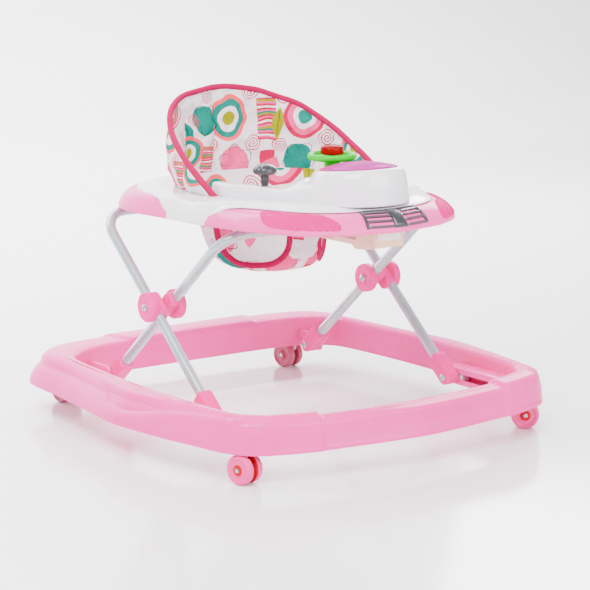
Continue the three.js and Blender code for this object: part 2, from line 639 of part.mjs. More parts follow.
addBase();
addCasters();
addFootPins();
addLegs();
addTray();
addLamps();
addTrayClips();
addRack();
addConsole();
addToys();
addSeat();
addSeatHooks();

export default group;
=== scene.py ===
"""Baby walker: the finished surfaces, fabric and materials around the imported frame.

Metres, +Z up, floor at z = 0, the front faces -Y, R is the child's right (-X).
"""
import math

import bmesh
import bpy
import numpy as np
from mathutils import Matrix, Vector, noise


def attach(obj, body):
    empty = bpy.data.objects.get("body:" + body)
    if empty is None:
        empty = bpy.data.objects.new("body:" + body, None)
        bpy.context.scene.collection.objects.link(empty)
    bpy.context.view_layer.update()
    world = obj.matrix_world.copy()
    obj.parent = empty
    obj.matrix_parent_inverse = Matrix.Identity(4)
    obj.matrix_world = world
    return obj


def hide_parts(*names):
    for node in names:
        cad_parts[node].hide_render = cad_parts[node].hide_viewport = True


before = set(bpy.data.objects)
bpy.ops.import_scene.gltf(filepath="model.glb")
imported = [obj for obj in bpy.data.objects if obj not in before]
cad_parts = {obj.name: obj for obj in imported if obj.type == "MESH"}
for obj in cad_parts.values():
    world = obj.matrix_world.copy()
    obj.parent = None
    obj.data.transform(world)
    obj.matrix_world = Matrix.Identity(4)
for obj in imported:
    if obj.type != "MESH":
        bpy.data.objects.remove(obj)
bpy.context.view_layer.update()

MM = 0.001
SIDES = (("R", -1), ("L", 1))
TAU = 2 * math.pi

# driving dimensions, in millimetres, the same as the frame's
LEG_ANGLE = math.radians(40.5)
CROSS = Vector((0, 40, 201))
FOOT_REACH = 215.6
TOP_REACH = 194
TUBE_R = 8
TUBE_BEND = 45
OUTER_X = 225
INNER_X = 193
LEG_UP = Vector((0, math.cos(LEG_ANGLE), math.sin(LEG_ANGLE)))
LEG_UP_INNER = Vector((0, -math.cos(LEG_ANGLE), math.sin(LEG_ANGLE)))
WHEEL_R = 22
CASTER_TRAIL = 7
TUBE_END = 14
CASTERS = (("front_R", -273, -263, 14, -1), ("front_L", 273, -263, 53, 1),
           ("back_R", -223, 301, 10, 1), ("back_L", 223, 301, 10, 1))


# ---------------------------------------------------------------- mesh helpers
def link(obj):
    bpy.context.scene.collection.objects.link(obj)
    return obj


def new_object(name, mesh, mats):
    """A linked object with its materials."""
    for mat in mats:
        mesh.materials.append(mat)
    return link(bpy.data.objects.new(name, mesh))


def shade(obj, angle=38):
    """Smooth shading that keeps the edges sharper than an angle in degrees."""
    obj.data.shade_smooth()
    obj.data.set_sharp_from_angle(angle=math.radians(angle))
    return obj


def settle(obj, body, node=None):
    """The moving body that carries a piece, and the node it stands for."""
    if node:
        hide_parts(node)
    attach(obj, body)
    return obj


def span(side, near, far):
    """Two distances from the middle on one side of it, as low and high X."""
    return sorted((side * near, side * far))


def mesh_object(name, verts, faces, mats, sharp=None):
    """A smooth mesh from points in millimetres; sharp keeps edges over that many degrees."""
    mesh = bpy.data.meshes.new(name)
    mesh.from_pydata([tuple(Vector(v) * MM) for v in verts], [], faces)
    mesh.update()
    mesh.shade_smooth()
    if sharp:
        mesh.set_sharp_from_angle(angle=math.radians(sharp))
    return new_object(name, mesh, mats)


def grid_faces(nu, nv, close_u, close_v):
    faces = []
    for i in range(nu if close_u else nu - 1):
        for j in range(nv if close_v else nv - 1):
            here, there = i * nv, ((i + 1) % nu) * nv
            after = (j + 1) % nv
            faces.append((here + j, here + after, there + after, there + j))
    return faces


def sheet_mesh(name, rows, mats, close_u=False, close_v=False, caps=False, sharp=None):
    """A skin over rows of points; caps closes the first and last row of a closed section."""
    rows = np.asarray(rows, float)
    nu, nv = rows.shape[:2]
    faces = grid_faces(nu, nv, close_u, close_v)
    if caps:
        faces.append(tuple(range(nv - 1, -1, -1)))
        faces.append(tuple((nu - 1) * nv + j for j in range(nv)))
    return mesh_object(name, rows.reshape(-1, 3), faces, mats, sharp=sharp)


def fix_normals(obj):
    bm = bmesh.new()
    bm.from_mesh(obj.data)
    bmesh.ops.remove_doubles(bm, verts=bm.verts, dist=1e-6)
    bmesh.ops.recalc_face_normals(bm, faces=bm.faces)
    bm.to_mesh(obj.data)
    bm.free()
    return obj


def lathe_mesh(name, profile, mats, steps=48, axis="Z", at=(0, 0, 0), sharp=35):
    """Turns a closed-on-axis profile of (radius, height) about an axis."""
    rows = []
    for i in range(steps):
        a = TAU * i / steps
        rows.append([(r * math.cos(a), r * math.sin(a), h) for r, h in profile])
    obj = fix_normals(sheet_mesh(name, rows, mats, close_u=True))
    quarter_turns = {"Z": 0, "X": 1, "-X": -1}[axis]
    turn = Matrix.Rotation(quarter_turns * math.pi / 2, 4, "Y")
    obj.data.transform(Matrix.Translation(Vector(at) * MM) @ turn)
    return shade(obj, sharp)


def rod(low, high, radius, steps=32, axis="Z", at=(0, 0, 0)):
    """A plain round bar, to cut a bore with."""
    return lathe_mesh("tool", [(0, low), (radius, low), (radius, high), (0, high)], [], steps, axis, at)


def curve_points(points, closed, steps=24):
    """Catmull-Rom curve with the same number of steps between each two points."""
    p = np.asarray(points, float)
    n = len(p)
    out = []
    for i in range(n if closed else n - 1):
        if closed:
            a, b, c, d = (p[(i + k) % n] for k in (-1, 0, 1, 2))
        else:
            a, b, c, d = p[max(i - 1, 0)], p[i], p[i + 1], p[min(i + 2, n - 1)]
        for t in np.linspace(0, 1, steps, endpoint=False):
            out.append(0.5 * (2 * b + (c - a) * t + (2 * a - 5 * b + 4 * c - d) * t ** 2
                              + (3 * b - a - 3 * c + d) * t ** 3))
    out.append(p[0] if closed else p[-1])
    return np.array(out)


def run_length(path):
    """Distance along a path at each of its points."""
    return np.concatenate([[0], np.cumsum(np.linalg.norm(np.diff(path, axis=0), axis=1))])


def smooth_path(points, count, closed=False):
    """A smooth curve through the points, resampled evenly."""
    curve = curve_points(points, closed)
    length = run_length(curve)
    want = np.linspace(0, length[-1], count, endpoint=not closed)
    return np.stack([np.interp(want, length, curve[:, k]) for k in range(curve.shape[1])], 1)


def sweep(name, path, radius, mats, sides=20, closed=False, squash=1.0, side_hint=(0, 0, 1), sharp=None):
    """A round or flattened section carried along a path with no twist."""
    path = np.asarray(path, float)
    if closed:
        tangents = np.roll(path, -1, 0) - np.roll(path, 1, 0)
    else:
        tangents = np.gradient(path, axis=0)
    tangents /= np.linalg.norm(tangents, axis=1)[:, None]
    radii = np.broadcast_to(radius, len(path))
    turns = [TAU * k / sides for k in range(sides)]
    up = np.asarray(side_hint, float)
    rows = []
    for point, tangent, r in zip(path, tangents, radii):
        up = up - tangent * np.dot(up, tangent)
        up /= np.linalg.norm(up)
        other = np.cross(tangent, up) * squash
        rows.append([point + r * (math.cos(a) * other + math.sin(a) * up) for a in turns])
    tube = sheet_mesh(name, rows, mats, close_u=closed, close_v=True, caps=not closed, sharp=sharp)
    return fix_normals(tube)


def rounded_body(name, bm, edges, mats, bevel, segments):
    """Rounds a body's edges and makes an object of it."""
    bmesh.ops.bevel(bm, geom=edges, offset=bevel * MM, segments=segments, affect="EDGES", profile=0.5)
    mesh = bpy.data.meshes.new(name)
    bm.to_mesh(mesh)
    bm.free()
    return shade(new_object(name, mesh, mats), 40)


def box_mesh(name, low, high, mats, bevel=1.0, segments=3):
    bm = bmesh.new()
    bmesh.ops.create_cube(bm, size=1)
    for v in bm.verts:
        for k in range(3):
            v.co[k] = (low[k] if v.co[k] < 0 else high[k]) * MM
    return rounded_body(name, bm, bm.edges[:], mats, bevel, segments)


def prism_mesh(name, outline, x0, x1, mats, bevel=1.0, segments=3):
    """An outline in (y, z) given a thickness along X, with rounded edges."""
    bm = bmesh.new()
    low, high = ([bm.verts.new((x * MM, y * MM, z * MM)) for y, z in outline] for x in (x0, x1))
    n = len(outline)
    ends = [bm.faces.new(low[::-1]), bm.faces.new(high)]
    for i in range(n):
        bm.faces.new((low[i], low[(i + 1) % n], high[(i + 1) % n], high[i]))
    bmesh.ops.recalc_face_normals(bm, faces=bm.faces)
    return rounded_body(name, bm, [e for f in ends for e in f.edges], mats, bevel, segments)


def apply_modifiers(obj):
    graph = bpy.context.evaluated_depsgraph_get()
    mesh = bpy.data.meshes.new_from_object(obj.evaluated_get(graph))
    obj.modifiers.clear()
    old = obj.data
    obj.data = mesh
    bpy.data.meshes.remove(old)
    return obj


def cut(obj, tool, operation="DIFFERENCE"):
    mod = obj.modifiers.new("cut", "BOOLEAN")
    mod.object = tool
    mod.operation = operation
    mod.solver = "EXACT"
    apply_modifiers(obj)
    bpy.data.objects.remove(tool)
    return obj


def join(name, objects):
    """One object from several; materials are kept."""
    bm = bmesh.new()
    mats = []
    for o in objects:
        mats += [m for m in o.data.materials if m not in mats]
        start = len(bm.faces)
        bm.from_mesh(o.data)
        bm.faces.ensure_lookup_table()
        for f in bm.faces[start:]:
            f.material_index = mats.index(o.data.materials[f.material_index])
        bpy.data.objects.remove(o)
    mesh = bpy.data.meshes.new(name)
    bm.to_mesh(mesh)
    bm.free()
    return new_object(name, mesh, mats)


def smoothstep(a, b, x):
    t = np.clip((np.asarray(x, float) - a) / (b - a), 0, 1)
    return t * t * (3 - 2 * t)


def remesh(obj, size):
    """Makes one even skin of a body, size millimetres between its points."""
    mod = obj.modifiers.new("remesh", "REMESH")
    mod.mode = "VOXEL"
    mod.voxel_size = size * MM
    return apply_modifiers(obj)


# ---------------------------------------------------------------- materials
class Graph:
    """Short calls for building a material's node tree."""

    def __init__(self, name):
        self.mat = bpy.data.materials.new(name)
        self.mat.use_nodes = True
        self.tree = self.mat.node_tree
        self.shader = self.tree.nodes["Principled BSDF"]

    def node(self, kind, **settings):
        n = self.tree.nodes.new(kind)
        for key, value in settings.items():
            setattr(n, key, value)
        return n

    def put(self, socket, value):
        if isinstance(value, bpy.types.NodeSocket):
            self.tree.links.new(value, socket)
        else:
            socket.default_value = value

    def fill(self, node, **values):
        """Sets or links a node's inputs by name, with _ for a space."""
        for key, value in values.items():
            self.put(node.inputs[key.replace("_", " ")], value)
        return node

    def coords(self):
        return self.node("ShaderNodeTexCoord").outputs["Object"]

    def split(self, vector):
        return self.fill(self.node("ShaderNodeSeparateXYZ"), Vector=vector).outputs[:2]

    def vector(self, op, *values):
        n = self.node("ShaderNodeVectorMath", operation=op)
        for socket, value in zip(n.inputs, values):
            self.put(socket, value)
        return n

    def math(self, op, *values):
        n = self.node("ShaderNodeMath", operation=op)
        for socket, value in zip(n.inputs, values):
            self.put(socket, value)
        return n.outputs[0]

    def within(self, value, limit):
        """1 where a value is nearer to zero than the limit."""
        return self.math("LESS_THAN", self.math("ABSOLUTE", value), limit)

    def mix(self, factor, a, b, blend="MIX"):
        n = self.node("ShaderNodeMix", data_type="RGBA", blend_type=blend)
        for place, value in ((0, factor), (6, a), (7, b)):
            self.put(n.inputs[place], value)
        return n.outputs[2]

    def noise(self, vector, scale, detail=2.0):
        n = self.fill(self.node("ShaderNodeTexNoise"), Vector=vector, Scale=scale, Detail=detail)
        return n.outputs["Fac"]

    def spread(self, value, low, high, from_low=0.0, from_high=1.0):
        n = self.fill(self.node("ShaderNodeMapRange"), Value=value, From_Min=from_low, From_Max=from_high,
                      To_Min=low, To_Max=high)
        return n.outputs[0]

    def bump(self, height, strength, distance):
        n = self.fill(self.node("ShaderNodeBump"), Strength=strength, Distance=distance, Height=height)
        return n.outputs[0]

    def ramp(self, value, colours, places):
        """Hard bands of colour, each from its place up."""
        n = self.node("ShaderNodeValToRGB")
        n.color_ramp.interpolation = "CONSTANT"
        stops = n.color_ramp.elements
        for k, (colour, place) in enumerate(zip(colours, places)):
            stop = stops[k] if k < 2 else stops.new(place)
            stop.position = place
            stop.color = rgb(colour)
        self.put(n.inputs[0], value)
        return n.outputs[0]

    def set(self, **values):
        self.fill(self.shader, **values)
        return self.mat


def rgb(hex_code, alpha=1.0):
    """Linear colour from an sRGB hex code."""
    parts = [int(hex_code[i:i + 2], 16) / 255 for i in (0, 2, 4)]
    return (*[(c / 12.92 if c <= 0.04045 else ((c + 0.055) / 1.055) ** 2.4) for c in parts], alpha)


def moulded(name, colour, deep, rough=0.22, sub=0.12, coat=0.35, spec=0.36):
    """Moulded plastic: faint flow colour, soft mould texture, uneven gloss, a little light inside."""
    g = Graph(name)
    where = g.coords()
    flow = g.noise(where, 9.0, 3.0)
    pores = g.noise(where, 900.0)
    wear = g.noise(where, 60.0, 4.0)
    texture = g.math("ADD", pores, g.math("MULTIPLY", wear, 0.6))
    return g.set(Base_Color=g.mix(g.spread(flow, 0.0, 1.0, 0.3, 0.7), rgb(colour), rgb(deep)),
                 Roughness=g.spread(wear, rough - 0.05, rough + 0.07, 0.3, 0.7),
                 Normal=g.bump(texture, 0.04, 0.0004), Subsurface_Weight=sub,
                 Subsurface_Radius=(0.012, 0.006, 0.006), Subsurface_Scale=0.5,
                 Coat_Weight=coat, Coat_Roughness=0.08, Specular_IOR_Level=spec)


def metal(name, colour, deep, rough=0.3):
    """Zinc-plated steel with fine brushing along it."""
    g = Graph(name)
    stretch = g.fill(g.node("ShaderNodeMapping"), Vector=g.coords(), Scale=(1, 1, 14))
    brush = g.noise(stretch.outputs[0], 350.0, 3.0)
    return g.set(Base_Color=g.mix(brush, rgb(colour), rgb(deep)),
                 Roughness=g.spread(brush, rough - 0.08, rough + 0.1),
                 Normal=g.bump(brush, 0.1, 0.0002), Metallic=1.0)


def weave(g, thread, per_metre=2200):
    """Plain weave: two crossed sets of threads as a height."""
    warp, weft = g.split(g.fill(g.vector("SCALE", thread), Scale=per_metre).outputs[0])
    return g.math("MULTIPLY", g.math("SINE", warp), g.math("SINE", weft))


def coated_tube():
    """Light grey powder coat: fine orange peel over steel."""
    g = Graph("tube_powder_coat")
    where = g.coords()
    peel = g.noise(where, 700.0)
    cloud = g.noise(where, 25.0, 3.0)
    return g.set(Base_Color=g.mix(g.spread(cloud, 0, 1, 0.35, 0.65), rgb("B0BBC0"), rgb("A4B0B5")),
                 Roughness=g.spread(cloud, 0.22, 0.34), Normal=g.bump(peel, 0.12, 0.0003),
                 Metallic=0.35, Coat_Weight=0.5, Coat_Roughness=0.15)


PINK = moulded("base_pink_plastic", "F240A0", "EE3A98", rough=0.24, sub=0.1, coat=0.2, spec=0.04)
TRAY_PINK = moulded("tray_pink_plastic", "F554A6", "F250A2", rough=0.24, sub=0.1, coat=0.2, spec=0.04)
HOT_PINK = moulded("clamp_pink_plastic", "F02694", "EC208C", rough=0.25, sub=0.05, coat=0.15, spec=0.03)
# painted shade: a darker red copy of the wheel pink, for the faces between the twin wheels and round the axle
PAINTED_SHADE_PINK = moulded("wheel_inner_plastic", "C8001E", "BE001A", rough=0.3, sub=0.05, coat=0.1, spec=0.03)
WHITE = moulded("white_plastic", "F0EAF0", "ECE5EE", rough=0.16, sub=0.1, coat=0.6)
FORK_WHITE = moulded("fork_plastic", "EAEAEC", "E2E2E6", rough=0.3, sub=0.1)
DARK_EDGE = moulded("dark_grey_bar", "4C4D53", "45464C", rough=0.2, sub=0.0, coat=0.4)
DARK = moulded("dark_grey_plastic", "34353A", "2E2F34", rough=0.26, sub=0.0, coat=0.3)
GREEN = moulded("green_plastic", "06C404", "04B802", rough=0.2, sub=0.0, coat=0.12, spec=0.03)
RED = moulded("red_plastic", "8E0000", "860000", rough=0.22, sub=0.0, coat=0.1, spec=0.02)
BEIGE = moulded("beige_plastic", "F4CEB2", "F0C7A6", rough=0.35, sub=0.2, coat=0.1)
LABEL = moulded("blank_label", "F4F1EC", "EDEAE6", rough=0.5, sub=0.0, coat=0.0)
WHEEL_PINK = moulded("wheel_pink_plastic", "F3469A", "F04094", rough=0.28, sub=0.05, coat=0.15, spec=0.04)
WHEEL_GREY = moulded("wheel_grey_pink_plastic", "C86A88", "BC6080", rough=0.3, sub=0.1, coat=0.15, spec=0.1)
# painted shade: a darker copy of the back wheels' grey pink, for the faces between the twin wheels and round
# the axle
PAINTED_SHADE_GREY = moulded("wheel_grey_inner_plastic", "B8606A", "AC5862", rough=0.35, sub=0.1, coat=0.1,
                          spec=0.1)
TUBE = coated_tube()
STEEL = metal("zinc_steel", "C9CCD0", "9EA2A8")


# ---------------------------------------------------------------- base hoop
# outer and inner edge of the hoop seen from above, +X half, from the front's middle to the back's
HOOP_OUTER = [(0, -348), (60, -344), (108, -338), (160, -331), (200, -323), (235, -312), (262, -300),
              (280, -284), (292, -266), (301, -238), (308, -200), (318, -150), (326, -97), (331, -55),
              (334, -20), (331, 20), (326, 60), (320, 105), (315, 150), (311, 190), (309, 230),
              (306, 265), (300, 292), (284, 315), (255, 331), (210, 341), (160, 346), (80, 348), (0, 348)]
HOOP_INNER = [(0, -303), (58, -301), (105, -297), (150, -291), (190, -283), (218, -273), (238, -264),
              (252, -251), (262.5, -234), (267, -214), (270, -180), (272, -140), (273.5, -90), (275, -50),
              (275, -15), (275, 20), (274, 60), (272, 100), (269, 145), (266, 180), (261, 208),
              (252, 226), (238, 240), (222, 250), (202, 258), (172, 264), (130, 267), (65, 268), (0, 268)]
HOOP_LOW = 45
HOOP_TOP = 97
HOOP_STATIONS = 760
# crest line of the side's wave: (y, z)
WAVE = [(-300, 96), (-261, 95), (-231, 91), (-180, 88), (-127, 82), (-73, 72), (-29, 66), (20, 72),
        (54, 84), (80, 95), (110, 104), (400, 112)]


def mirror_outline(half):
    """A closed outline from its +X half, which starts and ends on the middle."""
    return half + [(-x, y) for x, y in half[-2:0:-1]]


def hoop_section(outer, inner):
    """One station of the hoop: the skin from the outer bottom edge over the top, then back inside it."""
    across = inner - outer
    width = np.linalg.norm(across)
    across /= width
    x, y = outer
    at_front = 1 if y < -200 else 0
    front = (1 - smoothstep(170, 176, abs(x))) * at_front
    back = (1 - smoothstep(142, 158, abs(x))) * (1 if y > 200 else 0)
    side = smoothstep(230, 290, abs(x))
    top = HOOP_TOP - 5 * front + 3.5 * back
    setback = 2.6 * front - 1.5 * back
    wave = np.interp(y, [p[0] for p in WAVE], [p[1] for p in WAVE])

    def skin(s, z):
        """Outer face features: the side wave, the front's shallow panel and the lip below."""
        near = 1 - smoothstep(10, 26, s)
        step = side * 5.0 * smoothstep(-1.5, 2.5, z - wave) * (1 - smoothstep(14, 34, z - wave)) * near
        up = min(max((z - HOOP_LOW) / (wave - HOOP_LOW + 1), 0), 1)
        swell = side * 3.0 * math.sin(math.pi * up) * near
        past_panel = math.hypot(max(abs(x) - 88, 0), z - 74)
        panel = 1.8 * (1 - smoothstep(7.0, 9.0, past_panel)) * near * at_front
        lip = 1.2 * smoothstep(-0.8, 0.8, 50.5 - z) * near
        return s + setback * near + step - min(swell, max(s, 0)) + panel - lip

    lean = side * (3 + 13 * smoothstep(-180, 120, y)) + 9 * smoothstep(230, 300, y) * (1 - side)
    flat = width - 33 - lean
    over = [(0, HOOP_LOW), (0, 47), (0, 49.6), (0, 51.2)]
    over += [(1.0 + (2.2 + lean) * t ** 1.25, 52.5 + t * 26) for t in np.linspace(0, 1, 15)]
    over += [(3.4 + lean + 15 * (1 - math.cos(a)),
              80.5 + 15 * math.sin(a) - (HOOP_TOP - top) * smoothstep(0, 1, a / 1.4))
             for a in np.linspace(0.12, math.pi / 2, 11)]
    over += [(19 + lean + flat * t, top - 1.5 + 1.5 * math.sin(math.pi * (0.15 + 0.6 * t)))
             for t in np.linspace(0.1, 0.98, 9)]
    over += [(width - 9 + 8.2 * math.sin(a), top - 9 + 8.4 * math.cos(a))
             for a in np.linspace(0.1, math.pi / 2, 8)]
    over += [(width - 0.6 + 0.6 * t, top - 12 - t * (top - 59)) for t in np.linspace(0, 1, 8)]
    outside = [(skin(s, z) if s < 30 else s, z) for s, z in over]
    inside = [(width - 3, 47), (width - 3.6, top - 12), (width - 9, top - 4), (24 + lean, top - 4.5),
              (8.5 + lean, 83), (5.2 + 0.7 * lean, 72), (3, HOOP_LOW)]
    return [(*(outer + across * s), z) for s, z in outside + inside]


def build_hoop():
    # the two outlines are paired by the control points they share
    outer, inner = (curve_points(mirror_outline(half), True, 30) for half in (HOOP_OUTER, HOOP_INNER))
    length = run_length(outer)
    rows = []
    for at in np.linspace(0, length[-1], HOOP_STATIONS, endpoint=False):
        ends = [np.array([np.interp(at, length, edge[:, k]) for k in (0, 1)]) for edge in (outer, inner)]
        rows.append(hoop_section(*ends))
    shell = fix_normals(sheet_mesh("hoop_shell", rows, [PINK], close_u=True, close_v=True, sharp=50))
    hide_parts("base_hoop")
    boss = [(4.4, 66.5), (4.4, 48.6), (5, 48), (9.2, 48), (10, 48.8), (11, 92), (0, 92), (0, 66.5)]
    lug = [(193, 56), (196, 50), (204, 48.5), (212, 50), (262, 60), (262, 76), (205, 76), (196, 72)]
    pieces = [shell]
    for name, x, y, _, _ in CASTERS:
        pieces.append(lathe_mesh("hoop_boss_" + name, boss, [PINK], steps=32, at=(x, y, 0)))
    for side, s in SIDES:
        pieces.append(prism_mesh("hoop_lug_" + side, lug, 206 * s, 212 * s, [PINK], bevel=1.2))
    for piece in pieces:
        settle(piece, "base")


# ---------------------------------------------------------------- casters
def wheel_half(name, side, mats):
    """One of a caster's twin wheels, its outer side towards `side`; the axle lies on X."""
    tread = [(0, 4.0), (5.5, 4.0), (6.5, 4.6), (17, 5.4), (18.2, 4.4), (20.6, 4.4), (21.6, 5.2), (22, 6.6),
             (22, 11.0), (21.8, 13.0), (21, 14.9), (19.5, 16.2), (17.6, 16.9), (16.6, 16.6), (15.8, 15.4),
             (14.6, 14.9), (9.4, 14.9), (8.4, 15.5), (7.4, 16.4), (4.2, 16.6), (3.6, 16.0), (3.4, 15.2),
             (0, 15.2)]
    wheel = lathe_mesh(name, tread, mats, steps=56, axis="X" if side > 0 else "-X", sharp=40)
    # faces between the twin wheels and round the axle take the second material, a darker copy of the wheel
    # colour: painted shade
    for poly in wheel.data.polygons:
        inward = abs(poly.center.x) < 5.6 * MM or math.hypot(poly.center.y, poly.center.z) < 8 * MM
        poly.material_index = int(inward)
    return wheel


def build_casters():
    rod_end = [(0, -17.6), (2.4, -17.6), (3.4, -17.0), (3.4, -16.0), (2, -15.6)]
    profile = rod_end + [(r, -x) for r, x in rod_end[::-1]]
    for tag, x, y, yaw, trail in CASTERS:
        place = Matrix.Translation(Vector((x, y, 0)) * MM) @ Matrix.Rotation(math.radians(yaw), 4, "Z")
        on_axle = place @ Matrix.Translation(Vector((0, CASTER_TRAIL * trail, WHEEL_R)) * MM)
        front = tag.startswith("front")
        # the second material of each pair is the painted shade between the twin wheels
        mats = [WHEEL_PINK, PAINTED_SHADE_PINK] if front else [WHEEL_GREY, PAINTED_SHADE_GREY]
        for k, side in ((1, -1), (2, 1)):
            wheel = wheel_half("wheel_%s_%d" % (tag, k), side, mats)
            wheel.data.transform(on_axle)
            settle(wheel, "wheels_" + tag, "caster_%s_wheel_%d" % (tag, k))
        axle = lathe_mesh("axle_" + tag, profile, [STEEL], steps=24, axis="X")
        axle.data.transform(on_axle)
        settle(axle, "wheels_" + tag, "caster_%s_axle" % tag)
        fork = build_fork(tag, CASTER_TRAIL * trail)
        fork.data.transform(place)
        settle(fork, "caster_" + tag, "caster_%s_fork" % tag)


def build_fork(tag, trail):
    """The plate between the wheels, its hub round the axle, the crown and the stem."""
    hub = [(trail + 12.5 * math.sin(a), WHEEL_R - 12.5 * math.cos(a))
           for a in np.linspace(math.radians(115), -math.radians(115), 22)]
    outline = [(-7, 44.6), (7, 44.6), (9.6, 40), (10.5, 33)] + hub + [(-10.5, 33), (-9.6, 40)]
    plate = prism_mesh("fork_plate_" + tag, outline, -3, 3, [FORK_WHITE], bevel=0.9)
    stem = [(0, 43), (7.0, 43), (8, 44.4), (8, 46.8), (7.4, 47.6), (4.4, 47.6), (4, 48.2), (4, 65), (3, 66),
            (0, 66)]
    hood = [(0, -3.7), (6.6, -3.7), (7.2, -3.2), (7.2, 3.2), (6.6, 3.7), (0, 3.7)]
    cut(plate, lathe_mesh("stem", stem, [FORK_WHITE], steps=32), "UNION")
    cut(plate, lathe_mesh("hub", hood, [FORK_WHITE], steps=32, axis="X", at=(0, trail, WHEEL_R)), "UNION")
    return shade(plate, 35)


# ---------------------------------------------------------------- legs
def leg_frame(direction):
    """Takes local (x, along the leg, out of it) to the part, from the scissor's pivot."""
    along = direction.normalized()
    right = Vector((1, 0, 0))
    turn = Matrix((right, along, right.cross(along))).transposed().to_4x4()
    return Matrix.Translation(CROSS * MM) @ turn


def leg_path(half, reach_low, reach_top):
    """A U tube's middle line in leg coordinates: up one side, across the top, down the other."""
    b = TUBE_BEND
    side = [(-half, k, 0) for k in np.linspace(-reach_low, reach_top - b, 30)]
    side += [(-half + b - b * math.cos(a), reach_top - b + b * math.sin(a), 0)
             for a in np.linspace(0, math.pi / 2, 16)[1:]]
    side += [(k, reach_top, 0) for k in np.linspace(-half + b, 0, 10)[1:-1]]
    return side + [(0, reach_top, 0)] + [(-x, y, z) for x, y, z in side[::-1]]


def build_tube(name, half, direction, body):
    path = leg_path(half, FOOT_REACH - TUBE_END, TOP_REACH)
    tube = sweep(name, path, TUBE_R, [TUBE], sides=28, sharp=60)
    tube.data.transform(leg_frame(direction))
    settle(tube, body, "leg_" + name)


def bore(obj, low, high, radius, axis, at):
    """Drills a round hole along one of the leg's axes."""
    tool = rod(low, high, radius, axis="X" if axis == "X" else "Z")
    if axis == "Y":
        tool.data.transform(Matrix.Rotation(-math.pi / 2, 4, "X"))
    tool.data.transform(Matrix.Translation(Vector(at) * MM))
    return cut(obj, tool)


def stadium(low, high, half):
    """Outline in (along, out) with round ends."""
    points = []
    for middle, start in ((high - half, -math.pi / 2), (low + half, math.pi / 2)):
        points += [(middle + half * math.cos(a), half * math.sin(a))
                   for a in np.linspace(start, start + math.pi, 13)]
    return points


def disc_boss(name, x0, x1, radius, side):
    """The clamp's round face: dished rim, screw well, and a raised crescent."""
    rings = [(x0, radius - 0.8), (x0 + 1.2, radius), (x1 - 2.6, radius), (x1 - 1.2, radius - 0.5),
             (x1 - 0.2, radius - 1.6)]
    rings += [(x1, r) for r in np.linspace(radius - 2.4, 5.6, 26)]
    rings += [(x1 - 0.4, 5.1), (x1 - 2.2, 4.9), (x1 - 2.2, 4.0), (x1 - 2.2, 2.0)]
    turn = math.radians(-35) * side
    hollow_u, hollow_v = 13.5 * math.cos(turn), 13.5 * math.sin(turn)
    steps = 96
    rows = []
    for x, r in rings:
        row = []
        for i in range(steps):
            a = TAU * i / steps
            u, v = r * math.cos(a), r * math.sin(a)
            lift = 0
            if r < radius - 1.7 and x == x1:
                d = math.hypot(u - hollow_u, v - hollow_v)
                lift = -1.3 * (1 - smoothstep(10.8, 12.6, d))
                lift += 0.25 * (1 - smoothstep(0.0, 1.6, abs(d - 12.8)))
                lift *= 1 - smoothstep(radius - 3.6, radius - 1.8, r)
            row.append(((x + lift) * side, u, v))
        rows.append(row)
    return fix_normals(sheet_mesh(name, rows, [HOT_PINK], close_v=True, caps=True, sharp=40))


def build_clamp(node, leg_x, disc, outward, body, direction):
    """Half-barrel saddle on the tube with the round face beyond it."""
    saddle = prism_mesh(node, stadium(-25, 25, 12), leg_x - 13.4, leg_x + 13.4, [HOT_PINK], bevel=2.2,
                        segments=4)
    cut(saddle, disc_boss(node + "_face", *disc, 23, outward), "UNION")
    bore(saddle, -40, 40, TUBE_R + 0.25, "Y", (leg_x, 0, 0))
    cut(saddle, rod(-60, 60, 3.6, steps=24, axis="X", at=(leg_x, 0, 0)))
    saddle.data.transform(leg_frame(direction))
    settle(shade(saddle), body, node)


def build_foot(node, leg_x, body, direction):
    """Moulded foot: block round the tube's end and the pin, a collar at its mouth, ribs on its face."""
    low = -FOOT_REACH - 12
    outline = [(low + 12 - 12 * math.cos(a), 12 * math.sin(a))
               for a in np.linspace(-math.pi / 2, math.pi / 2, 17)]
    flank = [(low + 40, 12), (low + 51, 11.2), (low + 54, 10.4)]
    outline += flank + [(y, -z) for y, z in flank[::-1]]
    block = prism_mesh(node, outline, leg_x - 12, leg_x + 12, [HOT_PINK], bevel=2.4, segments=4)
    for k in (-1, 1):
        rib = prism_mesh("rib", stadium(low + 30, low + 46, 2), leg_x + k * 11.4, leg_x + k * 12.5,
                         [HOT_PINK], bevel=0.4)
        cut(block, rib, "UNION")
    bore(block, -FOOT_REACH + TUBE_END - 0.4, -FOOT_REACH + 60, TUBE_R + 0.2, "Y", (leg_x, 0, 0))
    bore(block, -20, 20, 4.5, "X", (leg_x, -FOOT_REACH, 0))
    block.data.transform(leg_frame(direction))
    settle(shade(block), body, node)


def screw_head(x, d, neck=3.0):
    """Profile of a domed head that starts at x and stands 2.6 mm proud towards d."""
    return [(neck, x), (5.6, x), (6, x + 0.4 * d), (5.7, x + 1.2 * d), (4.4, x + 2.2 * d), (2.6, x + 2.6 * d),
            (2.3, x + 1.4 * d), (0, x + 1.2 * d)]


